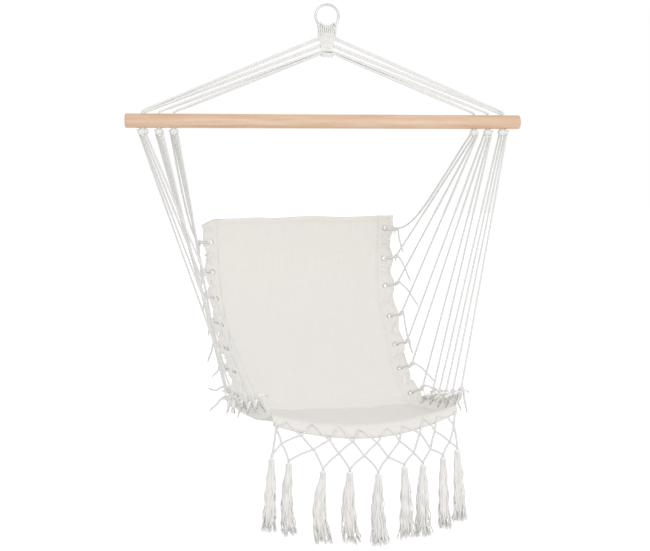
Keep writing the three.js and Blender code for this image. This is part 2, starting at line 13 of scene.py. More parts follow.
import bmesh
import bpy
import numpy as np
from mathutils import Matrix


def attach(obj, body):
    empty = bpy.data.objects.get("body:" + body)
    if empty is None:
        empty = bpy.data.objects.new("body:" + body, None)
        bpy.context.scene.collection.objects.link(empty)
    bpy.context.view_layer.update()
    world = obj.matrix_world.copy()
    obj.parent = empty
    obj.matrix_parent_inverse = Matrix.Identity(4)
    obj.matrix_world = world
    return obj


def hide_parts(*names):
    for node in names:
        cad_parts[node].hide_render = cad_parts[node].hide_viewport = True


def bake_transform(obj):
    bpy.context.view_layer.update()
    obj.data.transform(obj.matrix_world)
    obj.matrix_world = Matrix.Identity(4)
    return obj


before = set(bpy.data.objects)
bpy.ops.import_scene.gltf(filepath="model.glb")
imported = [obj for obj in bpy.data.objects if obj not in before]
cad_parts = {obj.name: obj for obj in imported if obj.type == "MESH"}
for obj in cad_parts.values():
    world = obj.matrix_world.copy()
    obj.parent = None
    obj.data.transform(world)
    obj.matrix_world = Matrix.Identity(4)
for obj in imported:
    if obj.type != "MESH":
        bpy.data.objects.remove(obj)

Array = np.ndarray
Tree = bpy.types.NodeTree
Socket = bpy.types.NodeSocket
Material = bpy.types.Material
Piece = bpy.types.Object

log = logging.getLogger("hammock_chair")

MM = 0.001
TAU = 2 * pi


class Side(Enum):
    """Side of the chair as seen from the front."""

    LEFT = -1
    RIGHT = 1

    @property
    def label(self) -> str:
        """The side's name in lower case."""
        return self.name.lower()


class Hole(Enum):
    """Hole in the bar, counted from the bar's end."""

    OUTER = 0
    MIDDLE = 1
    INNER = 2

    @property
    def label(self) -> str:
        """The hole's name in lower case."""
        return self.name.lower()


class Face(Enum):
    """Face of the sling: towards the sitter or away."""

    FRONT = 1
    BACK = -1


def vec(x: float, y: float, z: float) -> Array:
    """A point or direction."""
    return np.array([x, y, z], float)


def unit(v: Array) -> Array:
    """The direction with a length of one."""
    return v / np.linalg.norm(v)


def mix(low: float, high: float, share: float) -> float:
    """The value at a share of the way from low to high."""
    return low + (high - low) * share


def smoothstep(value: Array | float, low: float, high: float) -> Array | float:
    """Smooth step from 0 at low to 1 at high."""
    share = np.clip((value - low) / (high - low), 0, 1)
    return share * share * (3 - 2 * share)


def hump(distance: Array, width: float) -> Array:
    """A smooth hump of height one, by the distance from its middle."""
    return np.exp(-((distance / width) ** 2))


def from_table(table: Sequence[float], share: Array | float) -> Array:
    """Reads a table of equal steps as one smooth curve.

    Args:
        table: Values at equal steps.
        share: Where to read, from 0 to 1.

    Returns:
        The value or values there.
    """
    values = np.array([2 * table[0] - table[1], *table, 2 * table[-1] - table[-2]], float)
    place = np.clip(share, 0, 1) * (len(table) - 1)
    i = np.minimum(np.floor(place).astype(int), len(table) - 2)
    t = place - i
    a, b, c, d = values[i], values[i + 1], values[i + 2], values[i + 3]
    return b + 0.5 * t * (c - a + t * (2 * a - 5 * b + 4 * c - d + t * (3 * (b - c) + d - a)))


def waves(x: Array, y: Array, length: float, seed: int, count: int = 7) -> Array:
    """Smooth irregular relief, about -1 to 1.

    Args:
        x: First coordinate.
        y: Second coordinate.
        length: Usual distance from crest to crest.
        seed: Which relief.
        count: How many waves cross.

    Returns:
        The height at each place.
    """
    rng = np.random.default_rng(seed)
    total = np.zeros(np.broadcast(x, y).shape)
    for _ in range(count):
        turn = rng.uniform(0, TAU)
        size = length * rng.uniform(0.6, 1.6)
        total += np.sin(TAU * (x * np.cos(turn) + y * np.sin(turn)) / size + rng.uniform(0, TAU))
    return total / sqrt(count)


def linear(colour: str) -> tuple[float, float, float, float]:
    """Turns an sRGB hex colour to linear red, green, blue and an alpha of one."""
    parts = [int(colour[i : i + 2], 16) / 255 for i in (1, 3, 5)]
    low = [c / 12.92 if c <= 0.04045 else ((c + 0.055) / 1.055) ** 2.4 for c in parts]
    return low[0], low[1], low[2], 1.0


def add_node(
    tree: Tree, kind: str, inputs: dict, stops: dict | None = None, **settings
) -> bpy.types.Node:
    """Adds a node with its settings, its inputs and its links.

    Args:
        tree: Node tree.
        kind: Node type without its ShaderNode prefix.
        inputs: Socket name or number to a constant value or to the socket that feeds it.
        stops: Position to hex colour, where the node is a colour ramp.
        **settings: Properties of the node.

    Returns:
        The node.
    """
    node = tree.nodes.new("ShaderNode" + kind)
    for key, value in settings.items():
        setattr(node, key, value)
    for key, value in inputs.items():
        if isinstance(value, Socket):
            tree.links.new(value, node.inputs[key])
        else:
            node.inputs[key].default_value = value
    if stops:
        elements = node.color_ramp.elements
        while len(elements) < len(stops):
            elements.new(0.5)
        for element, (place, colour) in zip(elements, stops.items()):
            element.position = place
            element.color = linear(colour)
    return node


def stretched_noise(tree: Tree, place: Socket, sizes: tuple, detail: float) -> Socket:
    """Noise whose grain has the given size along each axis.

    Args:
        tree: Node tree.
        place: Coordinates.
        sizes: Grain along X, Y and Z, in the unit of the coordinates.
        detail: Octaves of finer grain.

    Returns:
        The noise value, from 0 to 1.
    """
    scale = tuple(1 / s for s in sizes)
    moved = add_node(tree, "Mapping", {"Vector": place, "Scale": scale})
    inputs = {"Vector": moved.outputs[0], "Scale": 1.0, "Detail": detail}
    return add_node(tree, "TexNoise", inputs).outputs[0]


def seen_directly(tree: Tree) -> Socket:
    """One for rays from the camera, from gloss and through glass, otherwise zero."""
    rays = add_node(tree, "LightPath", {})
    seen = rays.outputs["Is Camera Ray"]
    for kind in ("Is Glossy Ray", "Is Transmission Ray"):
        either = add_node(tree, "Math", {0: seen, 1: rays.outputs[kind]}, operation="MAXIMUM")
        seen = either.outputs[0]
    return seen


class Finish:
    """A finish: each kind works out what its one shader takes."""

    name: str

    def surface(self, tree: Tree) -> dict:
        """What the shader takes.

        Args:
            tree: The material's node tree, to which the pattern's nodes are added.

        Returns:
            Socket name to a constant value or to the socket that feeds it.
        """
        raise NotImplementedError

    def build(self) -> Material:
        """Makes the material.

        Returns:
            The material, named for what the real one is, or for the painted shade that it carries.
        """
        material = bpy.data.materials.new(self.name)
        material.use_nodes = True
        tree = material.node_tree
        tree.nodes.clear()
        shader = add_node(tree, "BsdfPrincipled", self.surface(tree))
        add_node(tree, "OutputMaterial", {"Surface": shader.outputs[0]})
        return material


@dataclass(frozen=True)
class CottonCord(Finish):
    """Laid cotton cord: twisted strands of dull natural yarn, with painted shade in the grooves where
    they meet.
    """

    name: str = "laid_cotton_cord"
    crest: str = "#F2F1EF"
    groove: str = "#ECEAE7"
    soiled: str = "#F9F8F6"
    fibre_mm: float = 0.7
    patch_mm: float = 45.0
    roughness: float = 0.92
    # Loose fibres that catch light at the sides
    fuzz: float = 0.3

    def surface(self, tree: Tree) -> dict:
        """Matte strands with fuzzy fibres, so light spreads without gloss."""
        crest = add_node(tree, "Attribute", {}, attribute_name="crest")
        # Painted shade: the grooves between strands are painted darker than their crests.
        stops = {0.0: self.groove, 0.6: self.crest}
        strands = add_node(tree, "ValToRGB", {0: crest.outputs["Fac"]}, stops).outputs["Color"]
        place = add_node(tree, "TexCoord", {}).outputs["Object"]
        patches = stretched_noise(tree, place, (self.patch_mm * MM,) * 3, 2.0)
        uneven = add_node(
            tree, "MapRange", {0: patches, "From Min": 0.5, "From Max": 0.8, "To Max": 0.6}
        )
        tints = {0: uneven.outputs[0], 6: strands, 7: linear(self.soiled)}
        tinted = add_node(tree, "Mix", tints, data_type="RGBA", blend_type="MULTIPLY")
        fibres = stretched_noise(tree, place, (self.fibre_mm * MM,) * 3, 3.0)
        bump = add_node(tree, "Bump", {"Height": fibres, "Strength": 0.12, "Distance": 0.3 * MM})
        return {
            "Base Color": tinted.outputs[2],
            "Roughness": self.roughness,
            "Sheen Weight": self.fuzz,
            "Sheen Roughness": 0.6,
            "Specular IOR Level": 0.2,
            "Normal": bump.outputs[0],
        }


@dataclass(frozen=True)
class CottonCanvas(Finish):
    """Plain woven cotton canvas: unbleached threads with slubs, matte and a little fuzzy."""

    name: str = "woven_cotton_canvas"
    light: str = "#F3F0EC"
    mean: str = "#EDEAE5"
    slub: str = "#E6E2DC"
    # Painted shade: the seat is painted a little greyer than the back, from this far below the top
    # edge
    seat_shade: str = "#F9F9FA"
    seat_from_mm: float = 630.0
    seat_fade_mm: float = 6.0
    # The real threads lie 0.6 mm apart. They are drawn at 1.5 mm, so that the weave shows.
    thread_mm: float = 1.5
    slub_width_mm: float = 2.2
    slub_length_mm: float = 75.0
    roughness: float = 0.95

    def surface(self, tree: Tree) -> dict:
        """Crossing threads give a fine grain, slubs give faint streaks, and painted shade greys the
        seat.
        """
        place = add_node(tree, "Attribute", {}, attribute_name="place").outputs["Vector"]
        wide, long = self.slub_width_mm, self.slub_length_mm
        long_slubs = stretched_noise(tree, place, (wide, long, 1.0), 2.0)
        cross_slubs = stretched_noise(tree, place, (long / 2, wide / 1.5, 1.0), 2.0)
        both = add_node(tree, "Math", {0: long_slubs, 1: cross_slubs}, operation="ADD").outputs[0]
        half = add_node(tree, "Math", {0: both, 1: 0.5}, operation="MULTIPLY").outputs[0]
        stops = {0.3: self.slub, 0.45: self.mean, 0.55: self.mean, 0.7: self.light}
        cloth = add_node(tree, "ValToRGB", {0: half}, stops).outputs["Color"]
        apart = add_node(tree, "SeparateXYZ", {0: place})
        # Painted shade: a grey tint multiplies the cloth beyond the seat line.
        start, stop = self.seat_from_mm - self.seat_fade_mm, self.seat_from_mm + self.seat_fade_mm
        on_seat = add_node(
            tree, "MapRange", {0: apart.outputs[1], "From Min": start, "From Max": stop}
        )
        tints = {0: on_seat.outputs[0], 6: cloth, 7: linear(self.seat_shade)}
        toned = add_node(tree, "Mix", tints, data_type="RGBA", blend_type="MULTIPLY")
        threads = []
        for axis in (0, 1):
            place_and_rate = {0: apart.outputs[axis], 1: TAU / self.thread_mm}
            turn = add_node(tree, "Math", place_and_rate, operation="MULTIPLY")
            wave = add_node(tree, "Math", {0: turn.outputs[0]}, operation="SINE")
            threads.append(wave.outputs[0])
        weave = add_node(tree, "Math", {0: threads[0], 1: threads[1]}, operation="MULTIPLY")
        lumps = add_node(
            tree, "Math", {0: half, 1: 3.0, 2: weave.outputs[0]}, operation="MULTIPLY_ADD"
        )
        relief = {"Height": lumps.outputs[0], "Strength": 0.3, "Distance": 0.25 * MM}
        bump = add_node(tree, "Bump", relief)
        return {
            "Base Color": toned.outputs[2],
            "Roughness": self.roughness,
            "Sheen Weight": 0.12,
            "Sheen Roughness": 0.6,
            "Specular IOR Level": 0.15,
            "Normal": bump.outputs[0],
        }


@dataclass(frozen=True)
class TurnedBeech(Finish):
    """Turned and sanded beech: pale pinkish wood with fine long grain and short dark flecks."""

    name: str = "turned_beech"
    light: str = "#E5C9B0"
    mean: str = "#DCBCA0"
    dark: str = "#D3AD8F"
    fleck: str = "#B88D6B"
    grain_mm: float = 7.0
    grain_length_mm: float = 150.0
    fleck_mm: float = 0.55
    fleck_length_mm: float = 6.0
    roughness: float = 0.5

    def surface(self, tree: Tree) -> dict:
        """Satin wood whose grain and flecks run along the bar."""
        place = add_node(tree, "TexCoord", {}).outputs["Object"]
        long, fine = self.grain_length_mm * MM, self.grain_mm * MM
        grain = stretched_noise(tree, place, (long, fine, fine), 4.0)
        stops = {0.28: self.dark, 0.5: self.mean, 0.72: self.light}
        wood = add_node(tree, "ValToRGB", {0: grain}, stops).outputs["Color"]
        short, thin = self.fleck_length_mm * MM, self.fleck_mm * MM
        flecks = stretched_noise(tree, place, (short, thin, thin), 1.0)
        marks = add_node(
            tree, "MapRange", {0: flecks, "From Min": 0.66, "From Max": 0.78, "To Max": 0.5}
        )
        flecked = add_node(
            tree, "Mix", {0: marks.outputs[0], 6: wood, 7: linear(self.fleck)}, data_type="RGBA"
        )
        dull, glossy = self.roughness + 0.08, self.roughness - 0.06
        gloss = add_node(tree, "MapRange", {0: grain, "To Min": dull, "To Max": glossy})
        bump = add_node(tree, "Bump", {"Height": grain, "Strength": 0.15, "Distance": 0.2 * MM})
        return {
            "Base Color": flecked.outputs[2],
            "Roughness": gloss.outputs[0],
            "Normal": bump.outputs[0],
        }


@dataclass(frozen=True)
class PlatedSteel(Finish):
    """Nickel plated steel: grey metal whose plating is a little cloudy, not a mirror."""

    name: str = "nickel_plated_steel"
    bright: str = "#D2D2D2"
    dull: str = "#C3C3C3"
    cloud_mm: float = 22.0
    roughness: float = 0.3

    def surface(self, tree: Tree) -> dict:
        """A metal with cloudy patches that blur its reflections."""
        place = add_node(tree, "TexCoord", {}).outputs["Object"]
        clouds = stretched_noise(tree, place, (self.cloud_mm * MM,) * 3, 3.0)
        stops = {0.3: self.dull, 0.7: self.bright}
        colour = add_node(tree, "ValToRGB", {0: clouds}, stops).outputs["Color"]
        hazy, clear = self.roughness + 0.05, self.roughness - 0.05
        blur = add_node(tree, "MapRange", {0: clouds, "To Min": hazy, "To Max": clear})
        return {"Base Color": colour, "Metallic": 1.0, "Roughness": blur.outputs[0]}


@dataclass(frozen=True)
class PolyesterFleece(Finish):
    """Bonded polyester wadding: white, soft and full of air, with a clotted surface."""

    name: str = "bonded_polyester_fleece"
    light: str = "#F8F8F6"
    dark: str = "#E6E6E3"
    clot_mm: float = 5.0

    def surface(self, tree: Tree) -> dict:
        """Clotted white fibre with no gloss."""
        place = add_node(tree, "TexCoord", {}).outputs["Object"]
        clots = stretched_noise(tree, place, (self.clot_mm * MM,) * 3, 4.0)
        stops = {0.3: self.dark, 0.7: self.light}
        colour = add_node(tree, "ValToRGB", {0: clots}, stops).outputs["Color"]
        bump = add_node(tree, "Bump", {"Height": clots, "Strength": 0.5, "Distance": 1.0 * MM})
        return {"Base Color": colour, "Roughness": 1.0, "Normal": bump.outputs[0]}


@dataclass(frozen=True)
class StudioPaper(Finish):
    """White studio paper: a matte floor that still takes a shadow."""

    name: str = "studio_paper"
    colour: str = "#F7F7F7"
    lift: float = 0.42

    def surface(self, tree: Tree) -> dict:
        """Matte white, lifted to pure white where the camera sees it."""
        glow = {0: seen_directly(tree), 1: self.lift}
        seen = add_node(tree, "Math", glow, operation="MULTIPLY")
        return {
            "Base Color": linear(self.colour),
            "Roughness": 1.0,
            "Specular IOR Level": 0.0,
            "Emission Color": linear("#FFFFFF"),
            "Emission Strength": seen.outputs[0],
        }


@dataclass(frozen=True)
class Finishes:
    """Every material of the chair, made once."""

    cord: Material
    # A darker copy of the cord finish, painted shade for the ropes and the net
    rope: Material
    canvas: Material
    beech: Material
    steel: Material
    fleece: Material
    thread: Material
    yarn: Material


def make_finishes() -> Finishes:
    """Makes the materials."""
    return Finishes(
        cord=CottonCord().build(),
        # Painted shade: the ropes and the net take this darker copy of the cord finish, as they hang
        # in less light.
        rope=CottonCord(name="tight_cotton_cord", crest="#E9E8E6", groove="#E6E4E1").build(),
        canvas=CottonCanvas().build(),
        beech=TurnedBeech().build(),
        steel=PlatedSteel().build(),
        fleece=PolyesterFleece().build(),
        thread=CottonCord(
            name="twisted_sewing_thread", crest="#EAE7E2", groove="#DDD9D2", fibre_mm=0.3
        ).build(),
        yarn=CottonCord(
            name="loose_cotton_yarn", crest="#FFFEFC", groove="#EEEBE7", soiled="#FFFFFF"
        ).build(),
    )


@dataclass(frozen=True)
class Lay:
    """How a cord is laid: its strands turn round its middle once in each pitch."""

    radius: float
    strands: int
    pitch: float
    depth: float
    step: float
    points_per_strand: int = 2

    @property
    def sides(self) -> int:
        """Points round the cord."""
        return self.strands * self.points_per_strand


ROPE = Lay(radius=2.65, strands=6, pitch=24.0, depth=0.045, step=2.6)
CLEW_ROPE = Lay(radius=2.6, strands=5, pitch=20.0, depth=0.05, step=2.0)
NET_CORD = Lay(radius=2.8, strands=5, pitch=20.0, depth=0.05, step=2.2)
KNOT_CORD = Lay(radius=1.6, strands=3, pitch=9.0, depth=0.12, step=1.4)
YARN = Lay(radius=1.75, strands=3, pitch=18.0, depth=0.08, step=3.0)
BINDING = Lay(radius=1.2, strands=3, pitch=9.0, depth=0.15, step=1.4)
FIBRE = Lay(radius=0.42, strands=2, pitch=20.0, depth=0.1, step=3.5)
THREAD = Lay(radius=0.45, strands=2, pitch=3.0, depth=0.2, step=1.2)


def circle(count: int) -> Array:
    """Angles of points that lie evenly round a circle."""
    return TAU * np.arange(count) / count


def distances(line: Array) -> Array:
    """How far along a line each of its points is."""
    return np.concatenate([[0], np.cumsum(np.linalg.norm(np.diff(line, axis=0), axis=1))])


def read_along(at: Array, along: Array, values: Array) -> Array:
    """Values at new distances along a line, from those at its points."""
    return np.stack([np.interp(at, along, values[:, k]) for k in range(3)], axis=1)


def resampled(path: Array, step: float) -> Array:
    """The same line with its points an equal step apart, rounded to fit its length."""
    along = distances(path)
    count = max(2, ceil(along[-1] / step) + 1)
    return read_along(np.linspace(0, along[-1], count), along, path)


def smooth_path(points: Sequence, per_part: int = 8) -> Array:
    """A smooth line through the points, evenly curved where they are unevenly spaced.

    Args:
        points: Points to pass through.
        per_part: New points between two given ones.

    Returns:
        The line's points.
    """
    p = np.array(points, float)
    p = np.concatenate([[2 * p[0] - p[1]], p, [2 * p[-1] - p[-2]]])
    gaps = np.maximum(np.sqrt(np.linalg.norm(np.diff(p, axis=0), axis=1)), 1e-4)
    line = []
    share = np.arange(per_part)[:, None] / per_part
    for i in range(len(p) - 3):
        g0, g1, g2 = gaps[i : i + 3]
        a, b, c, d = p[i : i + 4]
        m1 = ((b - a) / g0 - (c - a) / (g0 + g1) + (c - b) / g1) * g1
        m2 = ((c - b) / g1 - (d - b) / (g1 + g2) + (d - c) / g2) * g1
        third = -3 * b + 3 * c - 2 * m1 - m2
        fourth = 2 * b - 2 * c + m1 + m2
        line.append(b + share * m1 + share**2 * third + share**3 * fourth)
    line.append(p[-2:-1])
    return np.concatenate(line)


@dataclass
class Shell:
    """One closed surface, with the place of each point on its cloth or its height on a strand."""

    points: Array
    faces: list
    place: Array | None = None
    # The height on a strand picks the cord finishes' painted groove shade: the lower, the darker.
    crest: Array | None = None


def ring_faces(count: int, sides: int, closed: bool) -> list:
    """Faces of a tube whose points lie in rings, with its ends closed unless it is a loop."""
    index = np.arange(count * sides).reshape(count, sides)
    rows = np.roll(index, -1, axis=0) if closed else index[1:]
    low = index if closed else index[:-1]
    faces = np.stack(
        [low, np.roll(low, -1, axis=1), np.roll(rows, -1, axis=1), rows], axis=-1
    ).reshape(-1, 4).tolist()
    if not closed:
        faces.append(index[0][::-1].tolist())
        faces.append(index[-1].tolist())
    return faces


def packed(rings: list[Array], crest: float) -> Shell:
    """A solid through rings of points from top to bottom, as one even strand whose crest sets how
    much painted groove shade it takes.
    """
    faces = [f[::-1] for f in ring_faces(len(rings), len(rings[0]), False)]
    points = np.concatenate(rings)
    return Shell(points, faces, crest=np.full(len(points), crest))


def sweep(
    path: Array, lay: Lay, phase: float = 0.0, taper: Callable | None = None, closed: bool = False
) -> Shell:
    """A laid cord along a path.

    Args:
        path: Points of its middle.
        lay: How it is laid.
        phase: Turn of its strands at the start, in radians.
        taper: Share of the radius at a share of the length.
        closed: Whether the path is a loop.

    Returns:
        The cord's surface.
    """
    line = resampled(path, lay.step)
    if closed:
        line = line[:-1]
    count, sides = len(line), lay.sides
    before = np.roll(line, 1, axis=0) if closed else np.concatenate([line[:1], line[:-1]])
    after = np.roll(line, -1, axis=0) if closed else np.concatenate([line[1:], line[-1:]])
    tangents = after - before
    tangents /= np.linalg.norm(tangents, axis=1)[:, None]
    normals = np.zeros_like(line)
    normal = vec(0, 1, 0) if abs(tangents[0][1]) < 0.8 else vec(1, 0, 0)
    for i, tangent in enumerate(tangents):
        normal = unit(normal - tangent * (normal @ tangent))
        normals[i] = normal
    across = np.cross(tangents, normals)
    step = float(np.linalg.norm(np.diff(line, axis=0), axis=1).mean())
    along = np.arange(count) * step
    around = circle(sides)
    crest = 0.5 + 0.5 * np.cos(lay.strands * around)
    twist = along / lay.pitch
    if closed:
        around_loop = count * step
        steps = round(around_loop / lay.pitch * lay.strands)
        twist = along / around_loop * steps / lay.strands
    turn = TAU * twist[:, None] + around[None, :] + phase
    radius = lay.radius * (1 - lay.depth * (1 - crest))[None, :] * np.ones((count, 1))
    if taper is not None:
        radius = radius * np.array([taper(s) for s in np.linspace(0, 1, count)])[:, None]
    points = line[:, None] + radius[..., None] * (
        np.cos(turn)[..., None] * normals[:, None] + np.sin(turn)[..., None] * across[:, None]
    )
    faces = ring_faces(count, sides, closed)
    return Shell(points.reshape(-1, 3), faces, crest=np.tile(crest, count))


def ball(centre: Array, halves: Sequence[float], rings: int = 10, sides: int = 18) -> Shell:
    """A closed ellipsoid.

    Args:
        centre: Its middle.
        halves: Its half sizes along X, Y and Z.
        rings: Rows from top to bottom.
        sides: Points round it.

    Returns:
        Its surface.
    """
    down = np.pi * (np.arange(rings) + 1) / (rings + 1)
    around = circle(sides)
    grid = np.stack(
        [
            np.sin(down)[:, None] * np.cos(around),
            np.sin(down)[:, None] * np.sin(around),
            np.cos(down)[:, None] * np.ones(sides),
        ],
        axis=-1,
    ).reshape(-1, 3)
    points = np.concatenate([grid, [[0, 0, 1], [0, 0, -1]]]) * np.array(halves) + centre
    top, bottom = len(grid), len(grid) + 1
    faces = []
    for j in range(sides):
        k = (j + 1) % sides
        faces.append([top, j, k])
        for i in range(rings - 1):
            a = i * sides
            faces.append([a + j, a + sides + j, a + sides + k, a + k])
        last = (rings - 1) * sides
        faces.append([bottom, last + k, last + j])
    # A crest of 0.4 paints the ball part way into the cord finishes' groove shade.
    return Shell(points, faces, crest=np.full(len(points), 0.4))


def cell(i: int, j: int, row: int) -> list[int]:
    """One face of a grid whose rows have this many points."""
    return [j * row + i, (j + 1) * row + i, (j + 1) * row + i + 1, j * row + i + 1]


def thick_sheet(
    flat: Array, faces: list, surface: Callable, lifts: tuple[float, float], place: Array
) -> Shell:
    """A closed sheet made from a flat pattern, its cut edges closed between its two faces.

    Args:
        flat: Pattern points (across, along).
        faces: Pattern faces, all the same way round.
        surface: Turns (across, along, lift) to points in space.
        lifts: Heights of the upper and the lower face.
        place: Where each pattern point is on the cloth, in millimetres.

    Returns:
        The sheet's surface.
    """
    count = len(flat)
    upper = surface(flat[:, 0], flat[:, 1], lifts[0])
    lower = surface(flat[:, 0], flat[:, 1], lifts[1])
    made = [list(f) for f in faces] + [[i + count for i in reversed(f)] for f in faces]
    edges = {(f[i], f[(i + 1) % len(f)]) for f in faces for i in range(len(f))}
    for a, b in edges:
        if (b, a) not in edges:
            made.append([b, a, a + count, b + count])
    return Shell(np.concatenate([upper, lower]), made, np.concatenate([place, place]))


def joined(shells: Iterable[Shell]) -> Shell:
    """Several surfaces of cord as one."""
    points, faces, crest, start = [], [], [], 0
    for shell in shells:
        points.append(shell.points)
        crest.append(shell.crest)
        faces.extend([[i + start for i in f] for f in shell.faces])
        start += len(shell.points)
    return Shell(np.concatenate(points), faces, crest=np.concatenate(crest))


def make_piece(name: str, shell: Shell, material: Material) -> Piece:
    """Makes a smooth shaded object in metres.

    Args:
        name: Its name.
        shell: Its surface in millimetres.
        material: Its finish.

    Returns:
        The object.
    """
    mesh = bpy.data.meshes.new(name)
    mesh.from_pydata((shell.points * MM).tolist(), [], shell.faces)
    if shell.place is not None:
        place = mesh.attributes.new("place", "FLOAT_VECTOR", "POINT")
        place.data.foreach_set("vector", shell.place.astype(np.float32).ravel())
    if shell.crest is not None:
        crest = mesh.attributes.new("crest", "FLOAT", "POINT")
        crest.data.foreach_set("value", shell.crest.astype(np.float32))
    mesh.polygons.foreach_set("use_smooth", np.ones(len(mesh.polygons), bool))
    mesh.materials.append(material)
    mesh.update()
    piece = bpy.data.objects.new(name, mesh)
    bpy.context.scene.collection.objects.link(piece)
    log.info("%s: %d points", name, len(mesh.vertices))
    return piece


def settle(piece: Piece, body: str, slot: str, *nodes: str) -> None:
    """Says which body carries a piece and hides the CAD nodes that it replaces."""
    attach(piece, body)
    if nodes:
        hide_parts(*nodes)


def helix(
    centre: Array, axis: Array, first: Array, radius: float, turns: float, rise: float
) -> Array:
    """Points of a winding, twelve in each turn.

    Args:
        centre: Middle of its start.
        axis: Direction that it climbs in.
        first: Direction from the axis to its first point.
        radius: Distance from the axis to its middle line.
        turns: How many turns.
        rise: Climb in each turn.

    Returns:
        Its points.
    """
    count = max(3, round(12 * turns))
    share = np.arange(count + 1) / count
    angle = (TAU * turns * share)[:, None]
    side = np.cross(axis, first)
    return centre + axis * (rise * turns * share)[:, None] + radius * (
        np.cos(angle) * first + np.sin(angle) * side
    )


@dataclass(frozen=True)
class Fray:
    """How the fibres of a cut end spread: shares of their length, or of the gap between two."""

    turn_share: float = 0.4
    length_shares: tuple = (0.55, 1.1)
    spread_shares: tuple = (0.1, 0.42)
    droop_share: float = 0.3
    middle_share: float = 0.45
    middle_spread_share: float = 0.25
    # Distances from the cord's middle line to a fibre's root and to its middle
    root: tuple = (0.3, 1.4)
    middle: float = 0.9
    sunk: float = 2.0


def frayed_end(end: Array, direction: Array, length: float, seed: int, count: int) -> Shell:
    """Loose fibres at the cut end of a cord.

    Args:
        end: Middle of the cut.
        direction: The way that the cord points there.
        length: How long the fibres are.
        seed: Which fibres.
        count: How many.

    Returns:
        Their surfaces.
    """
    fray = Fray()
    rng = np.random.default_rng(seed)
    shells = []
    first = unit(np.cross(direction, vec(0.3, 1, 0.2)))
    second = np.cross(direction, first)
    for k in range(count):
        turn = TAU * (k + rng.uniform(-fray.turn_share, fray.turn_share)) / count
        side = cos(turn) * first + sin(turn) * second
        long = length * rng.uniform(*fray.length_shares)
        root = end + side * rng.uniform(*fray.root) - direction * fray.sunk
        spread = rng.uniform(*fray.spread_shares) * long
        droop = vec(0, 0, rng.uniform(0, fray.droop_share) * long)
        tip = end + direction * long + side * spread - droop
        off = fray.middle + spread * fray.middle_spread_share
        middle = end + direction * long * fray.middle_share + side * off
        line = smooth_path([root, middle, tip], 4)
        shells.append(sweep(line, FIBRE, taper=lambda s: 1 - 0.5 * s))
    return joined(shells)


def each(kind: type[Enum], *values) -> dict:
    """Default of a field that holds one value for each member of an Enum, in its order."""
    return field(default_factory=lambda: dict(zip(kind, values)))


@dataclass(frozen=True)
class BarPlan:
    """Sizes of the bar and of what is fixed round it, shared by the cords."""

    length: float = 1000.0
    radius: float = 17.5
    drop: float = 284.0
    hole_radius: float = 5.0
    hole_from_end: tuple = (43.0, 83.0, 119.0)
    knot_half_width: tuple = (14.0, 11.0, 11.0)
    knot_half_depth: float = 11.5
    knot_half_height: float = 9.0
    knot_nest: float = 0.2

    @property
    def top(self) -> float:
        """Height of the bar's top."""
        return -self.drop + self.radius

    @property
    def knot_top(self) -> float:
        """Height of the knots' tops."""
        return -self.drop - self.radius + self.knot_nest

    def hole_x(self, side: Side, hole: Hole) -> float:
        """Where a hole is along the bar."""
        return side.value * (self.length / 2 - self.hole_from_end[hole.value])

    def knot_centre(self, side: Side, hole: Hole) -> Array:
        """Middle of the knot under a hole."""
        return vec(self.hole_x(side, hole), 0, self.knot_top - self.knot_half_height)


